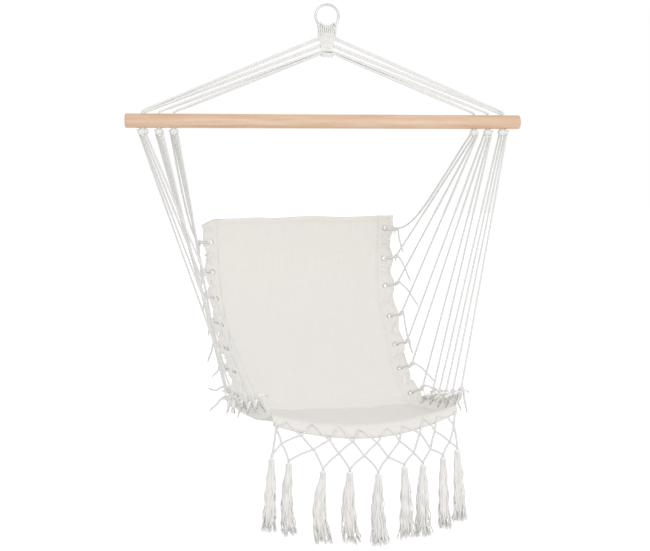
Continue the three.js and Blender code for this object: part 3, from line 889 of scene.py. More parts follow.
@dataclass
class SlingPlan:
    """Shape of the sling and of its eyelet strips, the same as in the part's source."""

    back_reach: float = 352.0
    back_top_drop: float = 535.0
    seat_reach: float = 406.0
    seat_drop: float = 998.0
    front_rise: float = 41.0
    hem_height: float = 26.0
    hem_bend: float = 12.0
    top_half_width: float = 222.0
    back_bulge: float = 30.0
    crease_sag: float = 8.0
    front_sag: float = 27.0
    canvas: float = 1.2
    gap: float = 0.3
    pad: float = 8.5
    pad_ramp: float = 55.0
    pad_corner: float = 6.0
    strip_width: float = 42.0
    strip_thickness: float = 2.2
    strip_scallop: float = 6.0
    eyelets: int = 12
    eyelet_from_root: float = 18.0
    tie_beyond_edge: float = 6.0
    width_shares: tuple = (1, 0.985, 0.963, 0.94, 0.905, 0.995, 1.01, 0.99, 0.97)
    # How far the strips fold up towards the sitter, in degrees at equal steps of the length
    folds: dict = each(Side, (16, 24, 28, 30, 36, 54, 64, 62), (48, 20, 14, 14, 26, 52, 64, 62))
    # The back's and the seat's side seams: shares of the reach and of the back's rise
    back_shares: tuple = (
        (1, 1), (1.015, 0.86), (1.005, 0.74), (0.955, 0.617), (0.85, 0.502), (0.7, 0.378),
        (0.46, 0.226), (0.19, 0.09), (0.05, 0.018),
    )
    seat_shares: tuple = ((0.06, 0), (0.25, 0.012), (0.55, 0.03), (0.82, 0.065))
    # Where the eyelets sit, as shares of the length
    eyelet_shares: dict = each(
        Side,
        (0.061, 0.139, 0.215, 0.297, 0.379, 0.464, 0.548, 0.627, 0.706, 0.785, 0.864, 0.943),
        (0.03, 0.108, 0.184, 0.278, 0.374, 0.463, 0.556, 0.633, 0.711, 0.788, 0.866, 0.943),
    )
    # How far the front corners are pulled up, and the share of the length where that starts
    corner_lift: dict = each(Side, 10.0, 24.0)
    corner_lift_from: float = 0.93
    # How far the top edge rises or falls from a straight line, at equal steps from left to right
    top_wave: tuple = (-1.5, -1.5, 0.5, -1.5, 1.5, 2.5, 0.5, 1.0, 4.0)
    top_wave_reach: float = 70.0
    # How far the strips' top corners rise
    corner_rise: dict = each(Side, -15.0, 4.0)

    def __post_init__(self) -> None:
        """Works out the side profile and where the back turns into the seat."""
        rise = self.seat_drop - self.back_top_drop
        hem = -self.seat_drop + self.front_rise
        low = -self.seat_drop
        points = [(0, y * self.back_reach, low + z * rise) for y, z in self.back_shares]
        points += [(0, -y * self.seat_reach, low + z * rise) for y, z in self.seat_shares]
        points.append((0, -self.seat_reach + self.hem_bend, hem))
        points.append((0, -self.seat_reach, hem - self.hem_bend))
        points.append((0, -self.seat_reach, hem - self.hem_height))
        self.hem_z = hem
        line = smooth_path(points, 100)
        along = distances(line)
        self.length = float(along[-1])
        self.shares = along / self.length
        self.line = line
        self.crease = float(self.shares[np.argmax(line[:, 1] <= 0)])

    def profile(self, along: Array | float) -> tuple[Array, Array]:
        """Y and Z of the side seam at shares of the length."""
        return (
            np.interp(along, self.shares, self.line[:, 1]),
            np.interp(along, self.shares, self.line[:, 2]),
        )

    def tangent(self, along: float) -> Array:
        """Direction of the side seam, from the top towards the front."""
        step = 0.001
        y, z = self.profile(np.array([max(along - step, 0), min(along + step, 1)]))
        return unit(vec(0, y[1] - y[0], z[1] - z[0]))

    def half_width(self, along: Array | float) -> Array:
        """Half width of the sling at shares of the length."""
        return self.top_half_width * from_table(self.width_shares, along)

    def middle(self, across: Array | float, along: Array | float) -> Array:
        """Points in the middle of the sling's thickness.

        Args:
            across: From -1 at the left seam to 1 at the right seam.
            along: From 0 at the top edge to 1 at the front edge.

        Returns:
            The points.
        """
        across, along = np.broadcast_arrays(np.asarray(across, float), np.asarray(along, float))
        y, z = self.profile(along)
        seatward = smoothstep(along, self.crease / 2, self.crease)
        frontward = smoothstep(along, self.crease, 1)
        down = mix(self.crease_sag, self.front_sag, frontward) * seatward
        bow = 1 - across**2
        fade = 1 - smoothstep(along * self.length, 0, self.top_wave_reach)
        wave = from_table(self.top_wave, (across + 1) / 2) * fade
        lift = np.where(across < 0, self.corner_lift[Side.LEFT], self.corner_lift[Side.RIGHT])
        lift = lift * across**2 * smoothstep(along, self.corner_lift_from, 1)
        return np.stack(
            [
                across * self.half_width(along),
                y + self.back_bulge * (1 - seatward) * bow,
                z - down * bow + wave + lift,
            ],
            axis=-1,
        )

    def normal(self, across: Array, along: Array) -> Array:
        """Unit directions out of the sling, towards the sitter."""
        step = 0.001
        low, high = np.maximum(along - step, 0), np.minimum(along + step, 1)
        down = self.middle(across, high) - self.middle(across, low)
        right = self.middle(across + step, along) - self.middle(across - step, along)
        out = np.cross(down, right)
        return out / np.linalg.norm(out, axis=-1, keepdims=True)

    def thickness(self, across: Array, along: Array) -> Array:
        """Whole thickness: padded in the middle, flat at the hems and seams."""
        edge = 2 * self.canvas + self.gap
        from_end = np.minimum(along, 1 - along) * self.length - self.hem_height / 2
        ends = smoothstep(from_end, 0, self.pad_ramp)
        return edge + (self.pad - edge) * ends * (1 - np.abs(across) ** self.pad_corner)

    def eyelet_number(self, side: Side, along: Array) -> Array:
        """Number of the eyelet at a share of the length, with parts of one between two."""
        places = np.array(self.eyelet_shares[side])
        places = [2 * places[0] - places[1], *places, 2 * places[-1] - places[-2]]
        return np.interp(along, places, np.arange(-1, self.eyelets + 1))

    def strip_frame(self, side: Side, along: float) -> tuple:
        """Root of a strip at a share of the length and its three directions.

        Args:
            side: Which strip.
            along: Share of the length.

        Returns:
            Root, direction outwards, normal towards the sitter, direction along.
        """
        tangent = self.tangent(along)
        fold = radians(float(from_table(self.folds[side], along)))
        face = vec(0, tangent[2], -tangent[1])
        out = unit(vec(side.value * cos(fold), 0, 0) + face * sin(fold))
        normal = unit(np.cross(out, tangent) * -side.value)
        root = self.middle(side.value, along)
        root[0] += side.value * (self.strip_thickness / 2 + self.gap)
        return root, out, normal, tangent

    def eyelet_frame(self, side: Side, number: int) -> tuple:
        """Root of a strip beside an eyelet and its three directions there."""
        return self.strip_frame(side, self.eyelet_shares[side][number])

    def eyelet_centre(self, side: Side, number: int) -> Array:
        """Middle of an eyelet."""
        root, out, _, _ = self.eyelet_frame(side, number)
        return root + out * self.eyelet_from_root

    def tie_point(self, side: Side, number: int) -> Array:
        """Where a rope is knotted, just outside the edge of its strip."""
        _, out, _, _ = self.eyelet_frame(side, number)
        reach = self.strip_width - self.eyelet_from_root + self.tie_beyond_edge
        return self.eyelet_centre(side, number) + out * reach


class Camera:
    """The camera at the photograph's place, solved from the bar, the ring and the tassels."""

    place = (-0.9134, -4.0999, -0.3632)
    pitch_degrees = 90 - 4.134
    turn_degrees = -12.49
    focal_px = 1687.94
    frame_px = 650
    sensor_mm = 36.0

    def build(self) -> None:
        """Makes the camera and sets it as the scene's."""
        data = bpy.data.cameras.new("camera")
        data.sensor_width = self.sensor_mm
        data.lens = self.focal_px / self.frame_px * self.sensor_mm
        camera = bpy.data.objects.new("camera", data)
        camera.location = self.place
        pitch, turn = radians(self.pitch_degrees), radians(self.turn_degrees)
        camera.rotation_euler = (pitch, 0, turn)
        bpy.context.scene.collection.objects.link(camera)
        bpy.context.scene.camera = camera


@dataclass
class LowerRopes:
    """The 24 ropes that lace the sling to the bar, each with its knot, loop, tail and fray."""

    plan: SlingPlan
    bar: BarPlan
    ropes_per_knot: int = 4
    pitch_at_knot: float = 5.4
    # How far the four ropes leave a knot from its middle, along the bar
    fan: tuple = (-7.0, -2.5, 2.5, 7.0)
    start_clear: float = 1.9
    loop_half_height: float = 5.5
    pull: float = 2.1
    loop_open_share: float = 0.03
    loop_points: int = 13
    # How far from its tie a rope already runs straight at it
    approach: tuple = (30.0, 14.0, 4.0)
    tail_length: float = 58.0
    tail_bend: float = 0.6
    tail_leave: float = 7.0
    tail_hump: float = 2.0
    wrap_radius: float = 3.7
    wrap_turns: float = 2.0
    wrap_rise: float = 3.9
    wrap_from_tie: float = 2.0
    fray: float = 10.0
    tail_fibres: int = 12
    stand_off: float = 6.0
    # The seat's ties crowd together: each shows this many short ends, of which the first stand
    # off the strip and the others lie back over it. A tie on the back shows one.
    first_on_seat: int = 7
    crowded_ends: int = 6
    standing_ends: int = 2
    short_tail: float = 13.0
    short_fray: float = 11.0
    short_root: float = 2.5
    seat_fibres: int = 14
    back_fibres: int = 8
    seat_end_shares: tuple = (1.1, 1.7)
    back_end_shares: tuple = (0.5, 0.8)
    # Where a short end that lies back points: off the strip, inwards and along it
    over_shares: tuple = ((0.5, 0.95), (0.5, 0.9), (-0.7, 0.7))
    # The same for one that stands: outwards, off the strip and along it
    standing_shares: tuple = ((0.1, 0.7), (-0.3, 0.9), (-0.8, 0.8))
    standing_droop: float = 0.25
    short_droop: float = 0.7
    # Where each tail ends: shares of its length outwards and down
    tails: dict = each(
        Side,
        (
            (0.12, 0.75), (0.1, 0.6), (0.15, 0.5), (0.12, 0.5), (0.36, 0.6), (0.45, 0.3),
            (0.75, -0.1), (0.7, 0.38), (0.3, 0.5), (0.16, 0.55), (0.1, 0.45), (0.05, 0.4),
        ),
        (
            (0.38, 0.95), (0.7, 1), (1, 0.95), (0.33, 1.1), (0.25, 0.4), (1.05, 0.7),
            (0.9, 0.1), (0.4, 0.5), (0.3, 0.45), (0.2, 0.6), (0.35, 0.6), (0.25, 0.75),
        ),
    )
    # How far the first rope sags at equal steps, as shares of its span
    slack: tuple = (0, 0.008, 0.024, 0.042, 0.06, 0.075, 0.078, 0.055, 0)

    def start(self, side: Side, number: int) -> Array:
        """Where a rope leaves its knot below the bar."""
        hole = Hole(2 - number // self.ropes_per_knot)
        place = number % self.ropes_per_knot
        x, y = self.fan[place], ((self.ropes_per_knot - 1) / 2 - place) * self.pitch_at_knot
        off = (x / self.bar.knot_half_width[hole.value]) ** 2 + (y / self.bar.knot_half_depth) ** 2
        under = self.bar.knot_half_height * sqrt(max(1 - off, 0))
        return self.bar.knot_centre(side, hole) + vec(x, y, -under - self.start_clear)

    def run(self, side: Side, number: int) -> list[Array]:
        """Points of a rope from the bar to its tie. The first rope hangs slack."""
        start, tie = self.start(side, number), self.plan.tie_point(side, number)
        if number > 0:
            away = unit(start - tie)
            return [start, *(tie + away * near for near in self.approach)]
        span = float(np.linalg.norm(tie - start))
        points = []
        for i, sag in enumerate(self.slack[:-1]):
            share = i / (len(self.slack) - 1)
            bulge = side.value * self.stand_off * 4 * share * (1 - share)
            points.append(mix(start, tie, share) + vec(bulge, 0, -sag * span))
        points.append(tie + unit(points[-1] - tie) * self.approach[-1])
        return points

    def path(self, side: Side, number: int) -> Array:
        """The whole middle line of a rope: run, loop through the eyelet, wraps and tail."""
        run = self.run(side, number)
        _, out, normal, _ = self.plan.eyelet_frame(side, number)
        eyelet = self.plan.eyelet_centre(side, number)
        tie = self.plan.tie_point(side, number)
        half = float(np.linalg.norm(tie - eyelet)) / 2
        loop = []
        for share in np.linspace(self.loop_open_share, 1 - self.loop_open_share, self.loop_points):
            turn = TAU * share
            height = self.loop_half_height * sin(turn)
            shift = self.pull * (1 - cos(turn)) / 2
            loop.append(eyelet + out * (half * (1 + cos(turn)) + shift) + normal * height)
        axis = unit(run[-2] - tie)
        first = -normal - axis * (-normal @ axis)
        start = tie + axis * self.wrap_from_tie
        wraps = helix(start, axis, unit(first), self.wrap_radius, self.wrap_turns, self.wrap_rise)
        out_share, down_share = self.tails[side][number]
        away = vec(side.value * out_share * self.tail_length, 0, 0)
        down = vec(0, 0, -down_share * self.tail_length)
        leave = wraps[-1] + unit(away + down) * self.tail_leave
        bend = tie + away * self.tail_bend + down * self.tail_bend**2
        rise = mix(leave, bend, 0.6) + vec(0, 0, self.tail_hump)
        return smooth_path([*run, *loop, *wraps, leave, rise, bend, tie + away + down])

    def short_end(self, side: Side, number: int, seed: int, over: bool) -> list[Shell]:
        """The other end of the tie, which sticks out short beside the knot.

        Args:
            side: Side of the chair.
            number: Which rope.
            seed: Which fibres and which direction.
            over: Whether it lies back over the canvas strip.

        Returns:
            The surfaces of the end and of its frayed fibres.
        """
        rng = np.random.default_rng(seed)
        tie = self.plan.tie_point(side, number)
        _, out, normal, tangent = self.plan.eyelet_frame(side, number)
        crowded = number >= self.first_on_seat
        shares = self.seat_end_shares if crowded else self.back_end_shares
        long = self.short_tail * rng.uniform(*shares)
        ways = self.over_shares if over else self.standing_shares
        first, second, third = (rng.uniform(*limits) for limits in ways)
        if over:
            # Over the outside of the left strip and the inside of the right one
            way = unit(normal * side.value * first - out * second + tangent * third)
        else:
            droop = vec(0, 0, self.standing_droop)
            way = unit(out * first + normal * second + tangent * third - droop)
        middle = tie + way * long * 0.6
        end = middle + unit(way - vec(0, 0, self.short_droop)) * long * 0.5
        line = smooth_path([tie + way * self.short_root, middle, end], 6)
        direction = unit(line[-1] - line[-3])
        fibres = self.seat_fibres if crowded else self.back_fibres
        tip = frayed_end(end, direction, self.short_fray, seed + 500, fibres)
        return [sweep(line, ROPE), tip]

    def build(self, finishes: Finishes) -> None:
        """Makes every rope and its frayed end."""
        for side in Side:
            for number in range(self.plan.eyelets):
                label = f"{side.label}_{number + 1:02d}"
                path = resampled(self.path(side, number), ROPE.step)
                shell = sweep(path, ROPE, phase=number)
                rope = make_piece(f"tie_rope_{label}", shell, finishes.rope)
                direction = unit(path[-1] - path[-4])
                seed = 100 + 20 * side.value + number
                frays = [frayed_end(path[-1], direction, self.fray, seed, self.tail_fibres)]
                for extra in range(self.crowded_ends if number >= self.first_on_seat else 1):
                    over = extra >= self.standing_ends
                    frays += self.short_end(side, number, seed + 60 * extra, over)
                tuft = make_piece(f"rope_fray_{label}", joined(frays), finishes.yarn)
                settle(rope, "seat", "cotton_cord", f"rope_{label}")
                settle(tuft, "seat", "cotton_cord")


@dataclass
class Ring:
    """The ring of round steel wire that the chair hangs from."""

    radius: float = 29.0
    wire: float = 3.0
    drop: float = 26.0
    segments: int = 120
    sides: int = 24

    def build(self, finishes: Finishes) -> None:
        """Makes the ring of smooth round wire, one strand with no lay."""
        around = TAU * np.arange(self.segments + 1) / self.segments
        x, z = self.radius * np.sin(around), -self.drop - self.radius * np.cos(around)
        path = np.stack([x, np.zeros_like(around), z], axis=1)
        wire = Lay(
            radius=self.wire,
            strands=1,
            points_per_strand=self.sides,
            pitch=1e6,
            depth=0.0,
            step=TAU * self.radius / self.segments,
        )
        ring = make_piece("steel_ring", sweep(path, wire, closed=True), finishes.steel)
        settle(ring, "ring", "ring_steel", "hanging_ring")


@dataclass
class Clew:
    """The cords between the ring and the bar: loops on the ring, a gathered bundle, a last knot."""

    bar: BarPlan
    ring: Ring
    loops: int = 9
    top_half_width: float = 20.5
    end_half_width: float = 14.0
    hand_over: float = -66.0
    end: float = -113.0
    layer: float = 3.4
    # How far a loop presses into the wire, bulges below it, and wraps past half a turn, in radians
    loop_bite: float = 0.1
    loop_bulge: float = 0.6
    loop_past: float = 0.45
    core_bulge: float = 0.9
    core_sides: int = 32
    end_layer: float = 2.6
    knot_z: float = -119.2
    knot_halves: tuple = (16.5, 9.0, 7.0)
    knot_turns: int = 3
    knot_core_inset: tuple = (3.0, 3.0, 1.5)
    knot_cord_inset: float = 2.0
    knot_climb_inset: float = 2.4
    pair_spacing: float = 3.4
    # Between clew and hole a pair is looser by this share
    pair_loose_share: float = 1.2
    # Where a pair starts: outside the bundle's side, and how far it is rooted in it
    pair_clear: float = 0.3
    pair_root: float = 5.0
    # Upright points over the bar's top, below it and over the knot, in the hole
    rise: float = 2.5
    sink: float = 6.0
    knot_clear: float = 0.5
    bend_height: float = 4.0
    bend_step: float = 2.0
    # Pairs of cords in each hole: [drop where the pair leaves the bundle, side of the hole]
    pairs: dict = each(Hole, ((80.0, 1), (98.0, -1)), ((111.5, 0),), ((117.0, 0),))
    # How a pair turns from beside each other (0) to above each other (90), clew to hole, in degrees
    pair_turns: dict = each(Hole, (85, 80, 65, 30, 0), (10, 40, 55, 50, 0), (10, 40, 55, 50, 0))
    # Drops where the outer strands leave the bundle, counted from its sides inwards
    leaving: tuple = (80.0, 98.0)
    # How such a strand turns out: its last two points to the side, and the last one's place
    leave_reach: tuple = (1.5, 5.5)
    leave_drop: float = 2.5
    leave_layer_share: float = 0.7
    # Woven cords: height, first strand and whether it starts under or over
    wefts: tuple = ((-71.5, 0, 0), (-75.5, 0, 1), (-86, 1, 0), (-90.5, 1, 1), (-103, 2, 0))
    weft_rise: float = 2.2
    # The bundle's solid: its top's drop, its height, and its half widths at the top and the end
    solid_drop: float = 69.9
    solid_height: float = 42.0
    solid_half_widths: tuple = (22.0, 15.5)
    flute_share: float = 1 / 18

    def strand_x(self, number: int, z: float) -> float:
        """Where a strand of the bundle is at a height."""
        share = 2 * number / (self.loops - 1) - 1
        narrow = smoothstep(-z, 70, -self.end)
        return share * mix(self.top_half_width, self.end_half_width, narrow)

    def ring_loop(self, number: int) -> Array:
        """One loop that goes up, over the ring's wire and down again."""
        x = self.strand_x(number, self.hand_over)
        turn = asin(np.clip(x / self.ring.radius, -1, 1))
        out = vec(sin(turn), 0, -cos(turn))
        wire = vec(0, 0, -self.ring.drop) + out * self.ring.radius
        reach = self.ring.wire + ROPE.radius - self.loop_bite
        foot, neck = vec(x, self.layer, self.hand_over), wire + out * reach
        side = vec(x, self.layer + self.loop_bulge, mix(foot[2], neck[2], 0.6))
        points = [foot * vec(1, -1, 1), side * vec(1, -1, 1)]
        for angle in np.linspace(-self.loop_past, pi + self.loop_past, 9):
            around = vec(0, reach * cos(angle), 0)
            points.append(wire - around - out * reach * sin(angle))
        return smooth_path([*points, side, foot], 5)

    def bundle_strand(self, number: int, face: int) -> Array:
        """One strand of the bundle, which ends where it leaves for the bar or enters the knot."""
        from_side = min(number, self.loops - 1 - number)
        leaves = from_side < len(self.leaving)
        end = -self.leaving[from_side] if leaves else self.end
        side = 1 if number > self.loops / 2 else -1
        points = []
        for share in np.linspace(0, 1, 8):
            z = mix(self.hand_over + 2, end, share)
            layer = mix(self.layer, self.end_layer, share)
            points.append(vec(self.strand_x(number, z), face * layer, z))
        if leaves:
            x = points[-1][0]
            points[-1] = vec(x + side * self.leave_reach[0], points[-1][1], end)
            layer = points[-1][1] * self.leave_layer_share
            points.append(vec(x + side * self.leave_reach[1], layer, end - self.leave_drop))
        return smooth_path(points, 4)

    def weft(self, z: float, first: int, phase: int) -> Array:
        """A cord woven across the bundle, over and under its strands."""
        points = []
        for number in range(first, self.loops - first):
            over = 1 if (number + phase) % 2 else -1
            points.append(vec(self.strand_x(number, z), over * (self.layer + self.weft_rise), z))
            if number < self.loops - 1 - first:
                middle = (self.strand_x(number, z) + self.strand_x(number + 1, z)) / 2
                points.append(vec(middle, 0, z))
        return smooth_path(points, 4)

    def core(self) -> Shell:
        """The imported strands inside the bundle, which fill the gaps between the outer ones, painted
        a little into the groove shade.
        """
        around = circle(self.core_sides)
        rings = []
        for z in np.linspace(self.hand_over + 1, self.end, 12):
            wide, deep = self.strand_x(self.loops - 1, z) + 0.5, self.layer + self.core_bulge
            square = (np.abs(np.cos(around)) ** 4 + np.abs(np.sin(around)) ** 4) ** -0.25
            x, y = wide * square * np.cos(around), deep * square * np.sin(around)
            rings.append(np.stack([x, y, np.full_like(x, z)], axis=1))
        return packed(rings, 0.5)

    def side_x(self, drop: float) -> float:
        """Where the side of the bundle or of the knot is, at the drop where a pair leaves."""
        share = (drop - self.solid_drop) / self.solid_height
        if share <= 1:
            half = mix(*self.solid_half_widths, smoothstep(share, 0, 1))
            return float(half * (1 - self.flute_share))
        off = (-drop - self.knot_z) / self.knot_halves[2]
        return self.knot_halves[0] * sqrt(1 - off * off)

    def upper_path(self, side: Side, hole: Hole, drop: float, lean: int, sign: int) -> Array:
        """Middle line of one upper cord, from the bundle down through its hole to the knot.

        Args:
            side: Side of the bar.
            hole: The hole that it goes through.
            drop: How far below the ring's inside top its pair leaves the bundle.
            lean: Side of the hole that its pair goes down.
            sign: Which cord of the pair.

        Returns:
            The line's points.
        """
        x = self.bar.hole_x(side, hole) + side.value * lean * self.pair_spacing / 2
        start = vec(side.value * (self.side_x(drop) + self.pair_clear), 0, -drop)
        bend = vec(x, 0, self.bar.top + self.bend_height + lean * self.bend_step)
        slope = unit(bend - start)
        above = vec(-slope[2], 0, slope[0])
        half = self.pair_spacing / 2 * sign * self.pair_loose_share
        turns = self.pair_turns[hole]
        points = []
        for share in (0.0, 0.15, 0.35, 0.55, 0.75, 0.9, 1.0):
            turn = radians(from_table(turns, share))
            offset = cos(turn) * vec(0, 1, 0) + sin(turn) * above
            points.append(mix(start, bend - slope * self.bend_height, share) + offset * half)
        spread = copysign(self.pair_spacing / 2, half)
        points.insert(0, points[0] - slope * self.pair_root)
        top, low = self.bar.top, self.bar.knot_top + self.knot_clear
        points += [vec(x, spread, z) for z in (top + self.rise, top - self.sink, low)]
        return smooth_path(points, 6)

    def add_loops(self, finishes: Finishes) -> None:
        """Makes the loops over the ring's wire."""
        shells = [sweep(self.ring_loop(n), CLEW_ROPE, phase=n) for n in range(self.loops)]
        loops = make_piece("ring_loops", joined(shells), finishes.cord)
        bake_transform(loops)
        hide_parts("ring_lashing")

    def add_bundle(self, finishes: Finishes) -> None:
        """Makes the bundle with its wefts."""
        shells = [self.core()]
        for number in range(self.loops):
            for face in (-1, 1):
                shells.append(sweep(self.bundle_strand(number, face), CLEW_ROPE, phase=number))
        shells += [sweep(self.weft(*weft), BINDING) for weft in self.wefts]
        bundle = make_piece("clew_bundle", joined(shells), finishes.cord)
        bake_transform(bundle)
        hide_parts("clew", "clew_throat")

    def add_knot(self, finishes: Finishes) -> None:
        """Makes the last knot: turns of cord round the ends of the bundle."""
        wide, deep, high = self.knot_halves
        inset, whole = self.knot_cord_inset, TAU * self.knot_turns
        core = ball(vec(0, 0, self.knot_z), np.array(self.knot_halves) - self.knot_core_inset)
        angle = np.linspace(0, whole, 60)
        climb = (angle / whole - 0.5) * 2 * (high - self.knot_climb_inset)
        round_it = np.sqrt(1 - (climb / (high + inset)) ** 2)
        x = (wide - inset) * round_it * np.cos(angle)
        y = (deep - inset) * round_it * np.sin(angle)
        points = np.stack([x, y, self.knot_z - climb], axis=1)
        knot = make_piece("last_knot", joined([core, sweep(points, CLEW_ROPE)]), finishes.cord)
        settle(knot, "carrier", "cotton_cord", "clew_knot")

    def add_upper_cords(self, finishes: Finishes) -> None:
        """Makes the sixteen upper cords, two in each pair."""
        for side in Side:
            for hole, pairs in self.pairs.items():
                node = f"upper_cords_{side.label}_{hole.label}"
                cords = [(drop, lean, sign) for drop, lean in pairs for sign in (-1, 1)]
                for number, (drop, lean, sign) in enumerate(cords):
                    path = resampled(self.upper_path(side, hole, drop, lean, sign), ROPE.step)
                    name = f"upper_cord_{side.label}_{hole.label}_{number + 1}"
                    cord = make_piece(name, sweep(path, ROPE, phase=number), finishes.cord)
                    settle(cord, "carrier", "cotton_cord", node)

    def build(self, finishes: Finishes) -> None:
        """Makes every part of the clew."""
        self.add_upper_cords(finishes)
        self.add_loops(finishes)
        self.add_bundle(finishes)
        self.add_knot(finishes)


@dataclass
class SpreaderBar:
    """The turned beech bar with its six drilled holes and softened ends."""

    bar: BarPlan
    sides: int = 72
    end_round: float = 3.0
    end_rows: int = 5
    body_rows: int = 41
    drill_sides: int = 32
    sharp_degrees: float = 40.0

    def build(self, finishes: Finishes) -> None:
        """Makes the bar and cuts its holes."""
        half, radius, end = self.bar.length / 2, self.bar.radius, self.end_round
        corner = [
            (half - end * (1 - sin(a)), radius - end * (1 - cos(a)))
            for a in np.linspace(0, pi / 2, self.end_rows)
        ]
        stations = np.linspace(-half + end, half - end, self.body_rows)
        body = [(x, radius) for x in stations[1:-1]]
        outline = [(-x, r) for x, r in reversed(corner)] + body + corner
        around = circle(self.sides)
        drop = self.bar.drop
        points = [
            vec(x, r * cos(a), -drop + r * sin(a)) for x, r in outline for a in around
        ]
        faces = []
        for i in range(len(outline) - 1):
            for j in range(self.sides):
                a, b = i * self.sides + j, i * self.sides + (j + 1) % self.sides
                faces.append([a, a + self.sides, b + self.sides, b])
        last = (len(outline) - 1) * self.sides
        faces.append(list(range(self.sides)))
        faces.append([last + j for j in reversed(range(self.sides))])
        points = np.array(points)
        rod = make_piece("beech_bar", Shell(points, faces), finishes.beech)
        drills = bmesh.new()
        for side in Side:
            for hole in Hole:
                place = Matrix.Translation(vec(self.bar.hole_x(side, hole), 0, -drop) * MM)
                bmesh.ops.create_cone(
                    drills,
                    cap_ends=True,
                    segments=self.drill_sides,
                    radius1=self.bar.hole_radius * MM,
                    radius2=self.bar.hole_radius * MM,
                    depth=4 * radius * MM,
                    matrix=place,
                )
        cutter_mesh = bpy.data.meshes.new("drills")
        drills.to_mesh(cutter_mesh)
        drills.free()
        cutter = bpy.data.objects.new("drills", cutter_mesh)
        bpy.context.scene.collection.objects.link(cutter)
        cut = rod.modifiers.new("holes", "BOOLEAN")
        cut.object = cutter
        cut.solver = "EXACT"
        bpy.context.view_layer.update()
        graph = bpy.context.evaluated_depsgraph_get()
        rod.data = bpy.data.meshes.new_from_object(rod.evaluated_get(graph))
        rod.modifiers.clear()
        bpy.data.objects.remove(cutter)
        sharp = rod.modifiers.new("edges", "EDGE_SPLIT")
        sharp.split_angle = radians(self.sharp_degrees)
        settle(rod, "carrier", "beech", "spreader_bar")


@dataclass
class BarKnots:
    """The six knots below the bar, each with a short frayed end that sticks out."""

    bar: BarPlan
    # Which way the short end of each knot points, on the right side
    stubs: dict = each(Hole, (1, -0.5, 0.35), (1, -0.6, 0.3), (0.8, 0.7, 0.1))
    stub_length: float = 6.5
    stub_from_share: float = 0.6
    stub_fray: float = 3.0
    stub_fibres: int = 8
    core_share: float = 0.9
    # How steeply the cord climbs as it goes round, and how far it weaves in and out
    climb_degrees: float = 58.0
    weave_share: float = 0.07

    def winding(self, centre: Array, halves: tuple) -> Array:
        """A cord that weaves over and under itself all round the knot."""
        angle = np.linspace(0, 2 * TAU, 121)
        climb = radians(self.climb_degrees)
        slope = climb * np.sin(2.5 * angle)
        wide, deep, high = (h - ROPE.radius for h in halves)
        lift = 1 + self.weave_share * np.cos(5 * angle)
        x = wide * lift * np.cos(slope) * np.cos(angle)
        y = deep * lift * np.cos(slope) * np.sin(angle)
        return centre + np.stack([x, y, high * np.sin(slope) / sin(climb)], axis=1)

    def build(self, finishes: Finishes) -> None:
        """Makes the knots."""
        for side in Side:
            for hole in Hole:
                centre = self.bar.knot_centre(side, hole)
                halves = (
                    self.bar.knot_half_width[hole.value],
                    self.bar.knot_half_depth,
                    self.bar.knot_half_height,
                )
                shells = [ball(centre, [self.core_share * h for h in halves])]
                shells.append(sweep(self.winding(centre, halves), ROPE, closed=True))
                x, y, z = self.stubs[hole]
                way = unit(vec(x * side.value, y, z))
                root = centre + way * np.array(halves) * self.stub_from_share
                tip = root + way * self.stub_length
                shells.append(sweep(np.array([root, tip]), ROPE))
                seed = 300 + 30 * side.value + 7 * hole.value
                shells.append(frayed_end(tip, way, self.stub_fray, seed, self.stub_fibres))
                name = f"knot_{side.label}_{hole.label}"
                knot = make_piece(name, joined(shells), finishes.cord)
                settle(knot, "seat", "cotton_cord", f"bar_knot_{side.label}_{hole.label}")


